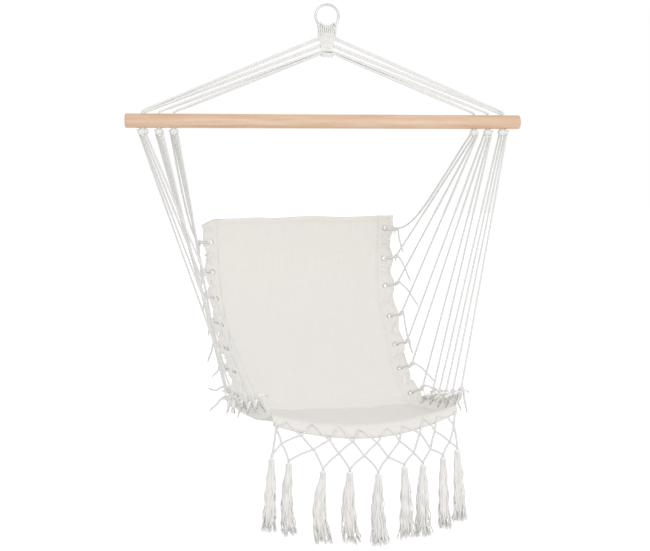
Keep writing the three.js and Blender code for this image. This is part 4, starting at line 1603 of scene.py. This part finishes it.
@dataclass
class Sling:
    """The padded canvas sling: two canvases, the wadding between them and their stitches."""

    plan: SlingPlan
    across_cells: int = 56
    along_cells: int = 170
    hem_stitch_from_edge: float = 15.0
    seam_stitch_from_edge: float = 5.0
    stitch_length: float = 3.4
    stitch_gap: float = 1.6
    stitch_rise: float = 0.3
    cut_apart: float = 500.0
    wadding_inset: float = 9.0
    # The cloth's relief: heights, and how long or how wide each form is
    soft_height: float = 1.5
    soft_length: float = 130.0
    fine_height: float = 0.35
    fine_length: float = 42.0
    relief_from_edge: float = 40.0
    pucker_height: float = 0.9
    pucker_reach: float = 13.0
    pucker_length: float = 30.0
    seam_depth: float = 0.8
    seam_width: float = 2.2
    roll_height: float = 0.5
    roll_width: float = 5.0
    crease_depth: float = 4.5
    crease_width: float = 5.5
    # A shallow hollow above the crease, deepest at the sides
    drawn_depth: float = 1.5
    drawn_above: float = 34.0
    drawn_width: float = 16.0

    def relief(self, across: Array, along: Array) -> Array:
        """How far the cloth stands off its plain shape, in millimetres."""
        plan = self.plan
        x = across * plan.half_width(along)
        s = along * plan.length
        from_side = plan.half_width(along) - np.abs(x)
        from_end = np.minimum(s, plan.length - s)
        inner = smoothstep(np.minimum(from_side, from_end), 0, self.relief_from_edge)
        soft = waves(x, s * 0.6, self.soft_length, 11) * self.soft_height * inner
        fine = waves(x * 1.6, s * 0.35, self.fine_length, 12) * self.fine_height * inner
        number = np.where(
            across < 0, plan.eyelet_number(Side.LEFT, along), plan.eyelet_number(Side.RIGHT, along)
        )
        beat = np.cos(TAU * number)
        uneven = beat + waves(x, s, self.pucker_length, 13) * 0.6
        pucker = -self.pucker_height * uneven * np.exp(-from_side / self.pucker_reach)
        from_crease = s - plan.crease * plan.length
        hem = self.hem_stitch_from_edge
        seams = -self.seam_depth * hump(from_side - self.seam_stitch_from_edge, self.seam_width)
        hems = -self.seam_depth * hump(from_end - hem, self.seam_width)
        roll = self.roll_height * hump(from_end - hem / 2, self.roll_width)
        crease = -self.crease_depth * hump(from_crease, self.crease_width)
        drawn = -self.drawn_depth * hump(from_crease + self.drawn_above, self.drawn_width)
        return soft + fine + pucker + seams + hems + roll + crease + drawn * across**2

    def face_point(self, face: Face, across: Array, along: Array, inset: float) -> Array:
        """Points on one face of the sling, or as far below it as the inset says."""
        height = self.plan.thickness(across, along) / 2 - inset
        push = self.relief(across, along)
        out = self.plan.normal(across, along)
        return self.plan.middle(across, along) + out * (face.value * height + push)[..., None]

    def pattern(self, across: Array, along: Array) -> tuple[Array, list]:
        """A grid of pattern points and its faces.

        Args:
            across: Stations across.
            along: Stations along.

        Returns:
            The points and the faces.
        """
        grid = np.array([(u, v) for v in along for u in across])
        row = len(across)
        faces = [cell(i, j, row) for j in range(len(along) - 1) for i in range(row - 1)]
        return grid, faces

    def stations(self) -> tuple[Array, Array]:
        """Stations across and along, closer together at the seams, hems and the crease."""
        share = np.linspace(-1, 1, self.across_cells + 1)
        across = np.sign(share) * (1 - (1 - np.abs(share)) ** 1.35)
        even = np.linspace(0, 1, self.along_cells + 1)
        crease = self.plan.crease + np.linspace(-0.02, 0.02, 13)
        ends = np.concatenate([np.linspace(0, 0.03, 11), np.linspace(0.95, 1, 17)])
        return across, np.unique(np.round(np.concatenate([even, crease, ends]), 5))

    def make_canvas(self, face: Face, name: str, node: str, material: Material) -> Piece:
        """Makes one canvas. The two cut pieces lie apart, so that their weaves differ."""
        across, along = self.stations()
        grid, faces = self.pattern(across, along)
        if face is Face.BACK:
            faces = [f[::-1] for f in faces]
        place = np.stack(
            [
                grid[:, 0] * self.plan.half_width(grid[:, 1]) + self.cut_apart * face.value,
                grid[:, 1] * self.plan.length,
                np.zeros(len(grid)),
            ],
            axis=1,
        )
        shell = thick_sheet(
            grid,
            faces,
            lambda u, v, lift: self.face_point(face, u, v, lift),
            (0.0, self.plan.canvas),
            place,
        )
        canvas = make_piece(name, shell, material)
        settle(canvas, "seat", "canvas", node)
        return canvas

    def add_wadding(self, finishes: Finishes) -> None:
        """Makes the wadding, which the canvases hide."""
        plan = self.plan
        edge = 1 - self.wadding_inset / plan.top_half_width
        end = (plan.hem_height + self.wadding_inset) / plan.length
        grid, faces = self.pattern(np.linspace(-edge, edge, 31), np.linspace(end, 1 - end, 91))
        shy = plan.canvas + plan.gap
        upper = self.face_point(Face.FRONT, grid[:, 0], grid[:, 1], shy)
        lower = self.face_point(Face.BACK, grid[:, 0], grid[:, 1], shy)
        shell = thick_sheet(
            grid, faces, lambda u, v, lift: upper if lift > 0 else lower, (1, -1), upper
        )
        fleece = make_piece("fleece_pad", shell, finishes.fleece)
        settle(fleece, "seat", "wadding", "wadding")

    def stitch_line(self, face: Face, ends: Array) -> list[Shell]:
        """Stitches along a line on one face of the sling.

        Args:
            face: Which face.
            ends: Pattern points (across, along) that the line follows.

        Returns:
            One surface for each stitch.
        """
        line = self.face_point(face, ends[:, 0], ends[:, 1], 0.0)
        out = self.plan.normal(ends[:, 0], ends[:, 1]) * face.value
        along = distances(line)
        pitch = self.stitch_length + self.stitch_gap
        shells = []
        for number in range(int(along[-1] / pitch)):
            at = number * pitch + np.linspace(0, self.stitch_length, 4)
            rise = self.stitch_rise * np.array([-1, 1, 1, -1])
            lifted = read_along(at, along, line) + read_along(at, along, out) * rise[:, None]
            shells.append(sweep(lifted, THREAD))
        return shells

    def add_stitches(self, finishes: Finishes) -> None:
        """Makes the stitches of the side seams and of both hems, on both faces."""
        plan = self.plan
        shells = []
        for face in Face:
            along = np.linspace(0.004, 0.996, 300)
            for side in Side:
                inset = 1 - self.seam_stitch_from_edge / plan.half_width(along)
                shells += self.stitch_line(face, np.stack([side.value * inset, along], axis=1))
            across = np.linspace(-0.97, 0.97, 120)
            for share in (
                self.hem_stitch_from_edge / plan.length, 1 - self.hem_stitch_from_edge / plan.length
            ):
                ends = np.stack([across, np.full_like(across, share)], axis=1)
                shells += self.stitch_line(face, ends)
        stitches = make_piece("sling_stitches", joined(shells), finishes.thread)
        settle(stitches, "seat", "cotton_yarn")

    def build(self, finishes: Finishes) -> None:
        """Makes every layer of the sling."""
        names = (("sitting_canvas", "front_canvas"), ("rear_canvas", "back_canvas"))
        for face, (name, node) in zip(Face, names):
            canvas = self.make_canvas(face, name, node, finishes.canvas)
        self.add_wadding(finishes)
        self.add_stitches(finishes)


@dataclass
class EyeletStrip:
    """The canvas strip along one side of the sling, with its twelve pressed eyelets."""

    plan: SlingPlan
    sling: Sling
    side: Side
    # How far the strip is tucked between the two canvases, and how thin it is pressed there
    tuck: float = 4.5
    tuck_thinning: float = 0.4
    patch: float = 12.0
    hole_radius: float = 5.2
    # Rings of points between the patch round an eyelet and its hole
    hole_ring_shares: tuple = (0.45, 0.75, 1.0)
    cell: float = 3.0
    # Loose canvas between two eyelets: wide ripples and short creases, both largest at the edge
    ripple: float = 5.2
    ripple_length: float = 62.0
    crumple: float = 4.6
    crumple_length: float = 17.0
    ripple_across: float = 40.0
    edge_wave: float = 1.2
    edge_wave_length: float = 37.0
    # How far along the top corner's lift and its outward pull reach, and how wide the pull is
    corner_reach: float = 45.0
    pull_reach: float = 60.0
    pull: float = 5.0
    rim_radius: float = 8.5
    eye_radius: float = 4.4
    rim_height: float = 1.0
    rim_sides: int = 28

    def reach(self, along: Array) -> Array:
        """Width of the strip, which draws in between its eyelets."""
        beat = np.cos(TAU * self.plan.eyelet_number(self.side, along))
        s, seed = along * self.plan.length, 21 + self.side.value
        uneven = waves(s, 0 * along, self.edge_wave_length, seed) * self.edge_wave
        return self.plan.strip_width - self.plan.strip_scallop * (1 - beat) / 2 + uneven

    def surface(self, across: Array, along: Array, lift: float) -> Array:
        """Points of the strip.

        Args:
            across: From 0 at the seam to 1 at the free edge, and below 0 between the canvases.
            along: Share of the sling's length.
            lift: Height over the strip's middle.

        Returns:
            The points.
        """
        plan, side = self.plan, self.side
        beat = np.cos(TAU * plan.eyelet_number(side, along))
        seed = 31 + side.value
        s, wide = along * plan.length, self.ripple_across * across
        slack = (1 - beat) / 2
        fold = slack * (waves(s, wide, self.ripple_length, seed) + 0.5)
        crumple = slack * waves(s, wide, self.crumple_length, seed + 5)
        free = np.maximum(across, 0)
        height = self.ripple * fold * free**1.2 + self.crumple * crumple * free
        reach = self.reach(along) * across
        frames = [plan.strip_frame(side, float(v)) for v in np.unique(along)]
        which = np.searchsorted(np.unique(along), along)
        root, out, normal = (np.array([f[k] for f in frames])[which] for k in range(3))
        points = root + out * reach[:, None] + normal * (height + lift)[:, None]
        near_corner = 1 - smoothstep(s, 0, self.corner_reach)
        points[:, 2] += plan.corner_rise[side] * near_corner * free**1.5
        points[:, 0] += side.value * self.pull * (1 - smoothstep(s, 0, self.pull_reach)) * across
        tucked = across < 0
        inset = across[tucked] * plan.strip_width / plan.half_width(along[tucked])
        u, v = side.value * (1 + inset), along[tucked]
        below = plan.thickness(u, v) / 2 - lift * self.tuck_thinning
        points[tucked] = self.sling.face_point(Face.FRONT, u, v, below)
        return points

    def pattern(self) -> tuple[Array, list]:
        """Pattern of the strip: a grid with a round hole at each eyelet.

        Returns:
            Points (across, along) as shares, and faces.
        """
        plan = self.plan
        width, length = plan.strip_width, plan.length
        end = 1 - (plan.hem_height + plan.hem_bend) / length
        middle = plan.eyelet_from_root
        low, high = middle - self.patch, middle + self.patch
        inner = np.linspace(low, high, 9)
        root = [-self.tuck, -self.tuck / 3, 0, low / 2]
        across = np.concatenate([root, inner, np.linspace(high, width, 6)[1:]])
        centres = np.array(plan.eyelet_shares[self.side]) * length
        along = [np.linspace(0, centres[0] - self.patch, 6)[:-1]]
        for number, centre in enumerate(centres):
            along.append(np.linspace(centre - self.patch, centre + self.patch, 9))
            after = centres[number + 1] - self.patch if number + 1 < len(centres) else end * length
            cells = max(2, round((after - centre - self.patch) / self.cell))
            along.append(np.linspace(centre + self.patch, after, cells + 1)[1:-1])
        along = np.concatenate([*along, [end * length]])
        row = len(across)
        points = [(u, v) for v in along for u in across]
        inside = {}
        faces = []
        for j in range(len(along) - 1):
            for i in range(row - 1):
                u, v = (across[i] + across[i + 1]) / 2, (along[j] + along[j + 1]) / 2
                near = np.argmin(np.abs(centres - v))
                if abs(v - centres[near]) < self.patch and abs(u - middle) < self.patch:
                    inside.setdefault(int(near), []).append((i, j))
                    continue
                faces.append(cell(i, j, row))
        for number, cells in inside.items():
            first_i, first_j = min(c[0] for c in cells), min(c[1] for c in cells)
            rim = [(first_i + k, first_j) for k in range(8)]
            rim += [(first_i + 8, first_j + k) for k in range(8)]
            rim += [(first_i + 8 - k, first_j + 8) for k in range(8)]
            rim += [(first_i, first_j + 8 - k) for k in range(8)]
            outer = [j * row + i for i, j in rim]
            previous = outer
            for share in self.hole_ring_shares:
                ring = []
                for index in outer:
                    du, dv = points[index][0] - middle, points[index][1] - centres[number]
                    away = hypot(du, dv)
                    size = mix(1.0, self.hole_radius / away, share)
                    ring.append(len(points))
                    points.append((middle + du * size, centres[number] + dv * size))
                for k in range(len(outer)):
                    n = (k + 1) % len(outer)
                    faces.append([previous[k], ring[k], ring[n], previous[n]])
                previous = ring
        grid = np.array(points, float) / (width, length)
        return grid, faces

    def grommet(self) -> Shell:
        """One pressed eyelet round its own Z axis: a rolled flange on each face and a throat."""
        half = self.plan.strip_thickness / 2
        outline = [
            (self.eye_radius, 0.0),
            (self.eye_radius, half * 0.8),
            (self.eye_radius + 0.5, half + self.rim_height * 0.85),
            (self.eye_radius + 1.5, half + self.rim_height),
            (self.rim_radius - 1.4, half + self.rim_height * 0.75),
            (self.rim_radius - 0.3, half + self.rim_height * 0.35),
            (self.rim_radius, half - 0.2),
            (self.hole_radius + 0.4, half - 0.35),
            (self.eye_radius + 0.7, half * 0.5),
        ]
        outline += [(r, -z) for r, z in reversed(outline[1:])]
        sides = self.rim_sides
        around = circle(sides)
        points = np.array(
            [(r * cos(a), r * sin(a), z) for r, z in outline for a in around]
        )
        faces = []
        rows = len(outline)
        for i in range(rows):
            for j in range(sides):
                k, n = (j + 1) % sides, (i + 1) % rows
                faces.append([i * sides + j, i * sides + k, n * sides + k, n * sides + j])
        return Shell(points, [f[::-1] for f in faces])

    def build(self, finishes: Finishes) -> None:
        """Makes the strip and its eyelets."""
        grid, faces = self.pattern()
        if self.side is Side.LEFT:
            faces = [f[::-1] for f in faces]
        place = np.stack(
            [grid[:, 1] * self.plan.length, grid[:, 0] * self.plan.strip_width, 0 * grid[:, 0]],
            axis=1,
        )
        half = self.plan.strip_thickness / 2
        shell = thick_sheet(grid, faces, self.surface, (half, -half), place)
        strip = make_piece(f"canvas_strip_{self.side.label}", shell, finishes.canvas)
        settle(strip, "seat", "canvas", f"eyelet_strip_{self.side.label}")
        eyelet = self.grommet()
        for number in range(self.plan.eyelets):
            along = self.plan.eyelet_shares[self.side][number]
            _, out, normal, _ = self.plan.eyelet_frame(self.side, number)
            share = self.plan.eyelet_from_root / self.plan.strip_width
            centre = self.surface(np.array([share]), np.array([along]), 0.0)[0]
            turn = np.stack([out, np.cross(normal, out), normal], axis=1)
            shell = Shell(eyelet.points @ turn.T + centre, eyelet.faces)
            name = f"pressed_eyelet_{self.side.label}_{number + 1:02d}"
            eye = make_piece(name, shell, finishes.steel)
            settle(eye, "seat", "ring_steel")


@dataclass
class FringeNet:
    """The knotted net that hangs from the front hem."""

    plan: SlingPlan
    half_width: float = 219.0
    height: float = 130.0
    knot_radius: float = 3.4
    knot_halves: tuple = (3.0, 2.4, 3.0)
    hang_clear: float = 0.3
    # The canvas squeezes a cord that lies on the hem to this share of its thickness
    pressed: float = 0.55
    # How much of its half thickness such a cord stands over the canvas
    proud_share: float = 0.8
    # Stitches in the hem: where across, and how far from the front edge in millimetres
    stitches: tuple = (
        (-0.86, 18), (-0.58, 26), (-0.29, 29), (-0.07, 21), (0.23, 20), (0.4, 17), (0.63, 23),
        (0.78, 14),
    )
    # Knots of the three rows: shares of the half width and of the height
    upper_shares: tuple = (
        (-0.955, 0.17), (-0.69, 0.3), (-0.39, 0.4), (-0.14, 0.45), (0.12, 0.49), (0.36, 0.47),
        (0.575, 0.34), (0.74, 0.32), (0.945, 0.22),
    )
    lower_shares: tuple = (
        (-0.895, 0.44), (-0.56, 0.56), (-0.29, 0.65), (-0.02, 0.71), (0.235, 0.75), (0.51, 0.69),
        (0.695, 0.64), (0.9, 0.52),
    )
    end_shares: tuple = (
        (-1, 0.65), (-0.82, 0.74), (-0.46, 0.91), (-0.175, 0.94), (0.13, 1), (0.41, 0.89),
        (0.61, 0.87), (0.83, 0.75), (0.985, 0.63),
    )
    # The cords at the net's sides: where across the hem they start, and how far from its edge
    side_share: float = 0.975
    side_stitch: tuple = (9.0, 2.0)
    # How much a cord bows: the upper ones, the lower ones and those at the sides
    upper_bow: float = 0.05
    lower_bow: float = 0.06
    side_bow: float = 0.02

    @property
    def y(self) -> float:
        """Depth at which the net hangs."""
        half = (2 * self.plan.canvas + self.plan.gap) / 2
        return -self.plan.seat_reach - half - self.hang_clear - self.knot_radius

    def at(self, shares: tuple[float, float]) -> Array:
        """A knot of the net."""
        return vec(shares[0] * self.half_width, self.y, self.plan.hem_z - shares[1] * self.height)

    def on_hem(self, across: float, from_edge: float) -> Array:
        """A place on the outside of the hem, where a cord lies on it."""
        along = np.array(1 - from_edge / self.plan.length)
        out = self.plan.normal(np.array(across), along)
        cord = self.pressed * NET_CORD.radius * self.proud_share
        return self.plan.middle(across, along) + out * (self.plan.canvas + self.plan.gap / 2 + cord)

    def stitch(self, number: int, knots: tuple) -> list[Shell]:
        """One V of the net: down from the left, through the hem, and down to the right.

        Args:
            number: Which stitch.
            knots: The knots below it, left and right.

        Returns:
            Its surfaces.
        """
        across, from_edge = self.stitches[number]
        legs = []
        for knot in knots:
            to = float(knot[0] / self.plan.half_width(1.0))
            leg = []
            for share in (0.12, 0.45, 0.8):
                place = mix(across, to, share * 0.75)
                leg.append(self.on_hem(place, max(from_edge * (1 - share), 1.5)))
            below = mix(leg[-1], knot, 0.55)
            below[1] = mix(leg[-1][1], knot[1], 0.8)
            legs.append([*leg, below, knot])
        apex = self.on_hem(across, from_edge)
        line = smooth_path([*reversed(legs[0]), apex, *legs[1]], 6)
        hole = ball(apex - vec(0, 1.2, 0), (1.3, 1.3, 1.3), 5, 10)
        return [sweep(line, NET_CORD, float(number), self.squeeze), hole]

    def squeeze(self, share: float) -> float:
        """Thickness of a stitch at a share of its length: the canvas squeezes its middle."""
        from_end = min(share, 1 - share)
        return mix(1.0, self.pressed, float(smoothstep(from_end, 0.24, 0.36)))

    def cord(self, start: Array, end: Array, bow: float) -> Shell:
        """One cord between two knots, a little slack.

        Args:
            start: First knot.
            end: Second knot.
            bow: How far it bows to the side, as a share of its length.

        Returns:
            Its surface.
        """
        share = np.linspace(0, 1, 12)[:, None]
        side = unit(np.cross(end - start, vec(0, 1, 0)))
        line = mix(start, end, share)
        line = line + side * bow * np.linalg.norm(end - start) * 4 * share * (1 - share)
        return sweep(line, NET_CORD, phase=float(start[0]))

    def knot(self, centre: Array, seed: int) -> list[Shell]:
        """A small overhand knot."""
        rng = np.random.default_rng(seed)
        angle = np.linspace(0, TAU, 49)
        turn = rng.uniform(0, TAU)
        x = np.sin(angle + turn) + 1.3 * np.sin(2 * angle)
        z = np.cos(angle + turn) - 1.3 * np.cos(2 * angle)
        line = np.stack([x * 1.05, -np.sin(3 * angle) * 1.2, z * 1.05], axis=1) + centre
        return [sweep(line, KNOT_CORD, closed=True), ball(centre, self.knot_halves, 6, 10)]

    def build(self, finishes: Finishes) -> list[Array]:
        """Makes the net.

        Args:
            finishes: The materials.

        Returns:
            The knots that the tassels hang from.
        """
        rows = (self.upper_shares, self.lower_shares, self.end_shares)
        upper, lower, ends = ([self.at(p) for p in row] for row in rows)
        shells = []
        rng = np.random.default_rng(5)
        for k in range(len(self.stitches)):
            shells += self.stitch(k, (upper[k], upper[k + 1]))
        for k, point in enumerate(lower):
            shells.append(self.cord(upper[k], point, self.upper_bow * rng.uniform(-0.4, 1)))
            shells.append(self.cord(upper[k + 1], point, -self.upper_bow * rng.uniform(-0.4, 1)))
            shells.append(self.cord(point, ends[k], -self.lower_bow * rng.uniform(0.3, 1)))
            shells.append(self.cord(point, ends[k + 1], self.lower_bow * rng.uniform(0.3, 1)))
        for side, corner, end in ((-1, upper[0], ends[0]), (1, upper[-1], ends[-1])):
            shells.append(self.cord(corner, end, self.side_bow))
            hem = [self.on_hem(side * self.side_share, away) for away in self.side_stitch]
            shells.append(sweep(smooth_path([*hem, mix(hem[1], corner, 0.5), corner], 5), NET_CORD))
        for seed, point in enumerate([*upper, *lower, *ends]):
            shells += self.knot(point, seed)
        net = make_piece("knotted_net", joined(shells), finishes.rope)
        settle(net, "seat", "cotton_cord", "fringe_net")
        return ends


@dataclass
class Tassel:
    """One tassel: yarns folded over the net's knot, bound at the neck and cut unevenly."""

    number: int
    top: Array
    half_width: float
    length: float = 166.0
    start: float = 3.7
    neck_radius: float = 7.5
    neck_from: float = 7.0
    neck_to: float = 21.0
    turns: float = 6.0
    yarns: int = 24
    depth_share: float = 0.6
    lean: float = 0.0
    bow: float = 0.0
    wave: float = 1.6
    # How far down the inner yarns are packed, as a share of the length, and how wide
    core_share: float = 0.97
    core_width: float = 0.72
    core_sides: int = 16
    # Where the outer yarns end, how long a wave of theirs is, and their turn from one to the next
    end_shares: tuple = (0.9, 0.975)
    wave_lengths: tuple = (38, 62)
    golden_turn: float = 2.39996
    # How the yarns fill the tassel from its middle to its outside
    fill_power: float = 0.34
    fray: float = 13.0
    fibres: int = 10
    folds: int = 7
    cap_drop: float = 4.5
    cap_half_height: float = 4.6
    binding_bite: float = 0.2
    # The folds over the knot: their first two distances from the middle, and where they go in
    fold_radii: tuple = (1.2, 3.6)
    fold_end: float = 1.5
    fold_inset: float = 2.2
    # How far the yarns have spread from the neck's width to the cut end's, from neck to end
    flare: tuple = (0.06, 0.33, 0.47, 0.57, 0.68, 0.83, 1)

    def sway(self, down: float) -> float:
        """How far the tassel's middle is to the side, at a share of the way from neck to end."""
        return self.lean * down**1.3 + self.bow * sin(pi * down)

    def core(self) -> Shell:
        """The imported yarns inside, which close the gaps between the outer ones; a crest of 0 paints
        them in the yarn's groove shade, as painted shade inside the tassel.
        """
        around = circle(self.core_sides)
        rings = []
        for share in np.linspace(0, 1, 9):
            down = share * self.core_share
            drop = self.neck_to + down * (self.length - self.neck_to)
            spread = float(from_table(self.flare, down))
            size = self.core_width * sqrt(max(1 - share**5, 0.01))
            wide = size * mix(self.neck_radius, self.half_width, spread)
            deep = size * mix(self.neck_radius, self.half_width * self.depth_share, spread)
            x, y = wide * np.cos(around) + self.sway(down), deep * np.sin(around)
            rings.append(self.top + np.stack([x, y, np.full_like(x, -drop)], axis=1))
        return packed(rings, 0.0)

    def yarn_shells(self) -> list[Shell]:
        """The wavy yarns from the neck to their uneven frayed ends."""
        rng = np.random.default_rng(700 + self.number)
        shells = [self.core()]
        for k in range(self.yarns):
            share = ((k + 0.5) / self.yarns) ** self.fill_power
            turn = self.golden_turn * k + rng.uniform(-0.3, 0.3)
            way = vec(cos(turn), sin(turn), 0)
            bottom = self.length * rng.uniform(*self.end_shares)
            size = rng.uniform(*self.wave_lengths, 2)
            phase = rng.uniform(0, TAU, 2)
            points = []
            for drop in np.linspace(self.neck_from, bottom, 17):
                down = max(0.0, (drop - self.neck_to) / (self.length - self.neck_to))
                spread = from_table(self.flare, down)
                narrow = (self.neck_radius - YARN.radius) * share
                wide = (self.half_width - YARN.radius) * share
                curl = min(down * 3, 1) * self.wave
                x = mix(narrow, wide, spread) * way[0] + self.sway(down)
                x += curl * sin(TAU * drop / size[0] + phase[0])
                y = mix(narrow, wide * self.depth_share, spread) * way[1]
                y += curl * sin(TAU * drop / size[1] + phase[1])
                points.append(self.top + vec(x, y, -drop))
            line = smooth_path(points, 4)
            shells.append(sweep(line, YARN, phase=float(k)))
            direction, seed = unit(line[-1] - line[-5]), 900 + 40 * self.number + k
            shells.append(frayed_end(line[-1], direction, self.fray, seed, self.fibres))
        return shells

    def build(self, finishes: Finishes) -> None:
        """Makes the tassel."""
        down, first = vec(0, 0, -1), vec(1, 0, 0)
        centre = self.top + down * self.neck_from
        rise = (self.neck_to - self.neck_from) / self.turns
        bound = self.neck_radius - BINDING.radius - self.binding_bite
        shells = [sweep(helix(centre, down, first, bound, self.turns, rise), BINDING)]
        cap, wide = self.top + down * (self.start + self.cap_drop), self.neck_radius - 1.0
        shells.append(ball(cap, (wide, wide, self.cap_half_height)))
        rng = np.random.default_rng(self.number)
        for k in range(self.folds):
            turn = TAU * k / self.folds + rng.uniform(-0.2, 0.2)
            way = vec(cos(turn), sin(turn), 0)
            points = [
                self.top + down * drop + way * away
                for drop, away in (
                    (self.start, self.fold_radii[0]),
                    (self.start + self.fold_radii[0], self.fold_radii[1]),
                    (self.neck_from + self.fold_end, self.neck_radius - self.fold_inset),
                )
            ]
            shells.append(sweep(smooth_path(points, 4), YARN, taper=lambda s: 0.8 + 0.2 * s))
        shells += self.yarn_shells()
        tassel = make_piece(f"yarn_tassel_{self.number}", joined(shells), finishes.yarn)
        settle(tassel, f"tassel_{self.number}", "cotton_yarn", f"tassel_{self.number}")


class Tassels:
    """The nine tassels, whose ends just touch their neighbours' where those are close."""

    half_width = 25.0
    side_gap = -1.5
    leans = (-6.0, 1.0, 3.0, 5.0, 4.0, 5.0, 3.0, 4.0, 6.0)
    bows = (-1.0, -5.0, -9.0, -5.0, -3.0, 2.0, -1.0, 0.0, 2.0)

    def build(self, tops: list[Array], finishes: Finishes) -> None:
        """Makes a tassel under each of the net's last knots."""
        for k, top in enumerate(tops):
            others = [tops[i] for i in (k - 1, k + 1) if 0 <= i < len(tops)]
            room = [abs(float(o[0] - top[0])) / 2 - self.side_gap for o in others]
            half_width = min(self.half_width, *room)
            Tassel(k + 1, top, half_width, lean=self.leans[k], bow=self.bows[k]).build(finishes)


class Studio:
    """A white floor, white surroundings and two soft lamps."""

    floor_z = -1.62
    floor_size = 60.0
    surround = 0.84
    lamps = (("key", (-0.6, -3.6, 1.1), 2.6, 27.0), ("fill", (2.4, -2.8, 0.2), 2.4, 11.0))
    aim = (0.0, 0.0, -0.7)

    def build(self) -> None:
        """Makes the floor, the surroundings and the lamps."""
        mesh = bpy.data.meshes.new("studio_floor")
        half = self.floor_size / 2
        corners = [(-half, -half), (half, -half), (half, half), (-half, half)]
        mesh.from_pydata([(x, y, self.floor_z) for x, y in corners], [], [[0, 1, 2, 3]])
        mesh.materials.append(StudioPaper().build())
        floor = bpy.data.objects.new("studio_floor", mesh)
        bpy.context.scene.collection.objects.link(floor)
        world = bpy.data.worlds.new("studio")
        world.use_nodes = True
        tree = world.node_tree
        tree.nodes.clear()
        white = add_node(tree, "Background", {"Color": linear("#FFFFFF"), "Strength": 1.0})
        around = {"Color": linear("#FFFFFF"), "Strength": self.surround}
        light = add_node(tree, "Background", around)
        both = {0: seen_directly(tree), 1: light.outputs[0], 2: white.outputs[0]}
        mixed = add_node(tree, "MixShader", both)
        add_node(tree, "OutputWorld", {"Surface": mixed.outputs[0]})
        bpy.context.scene.world = world
        for name, place, size, power in self.lamps:
            data = bpy.data.lights.new(f"lamp_{name}", "AREA")
            data.shape = "DISK"
            data.size = size
            data.energy = power
            lamp = bpy.data.objects.new(f"lamp_{name}", data)
            lamp.location = place
            way = (lamp.location - type(lamp.location)(self.aim)).to_track_quat("Z", "Y")
            lamp.rotation_mode = "QUATERNION"
            lamp.rotation_quaternion = way
            bpy.context.scene.collection.objects.link(lamp)


def main() -> None:
    """Builds the camera, the cords and every other piece in order."""
    logging.basicConfig(level=logging.INFO, format="%(name)s %(message)s")
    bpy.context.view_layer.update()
    bpy.context.scene.view_settings.view_transform = "Standard"
    Camera().build()
    finishes = make_finishes()
    sling, bar = SlingPlan(), BarPlan()
    LowerRopes(sling, bar).build(finishes)
    ring = Ring()
    Clew(bar, ring).build(finishes)
    ring.build(finishes)
    SpreaderBar(bar).build(finishes)
    BarKnots(bar).build(finishes)
    padded_sling = Sling(sling)
    padded_sling.build(finishes)
    for side in Side:
        EyeletStrip(sling, padded_sling, side).build(finishes)
    tops = FringeNet(sling).build(finishes)
    Tassels().build(tops, finishes)
    Studio().build()


if __name__ == "__main__":
    main()
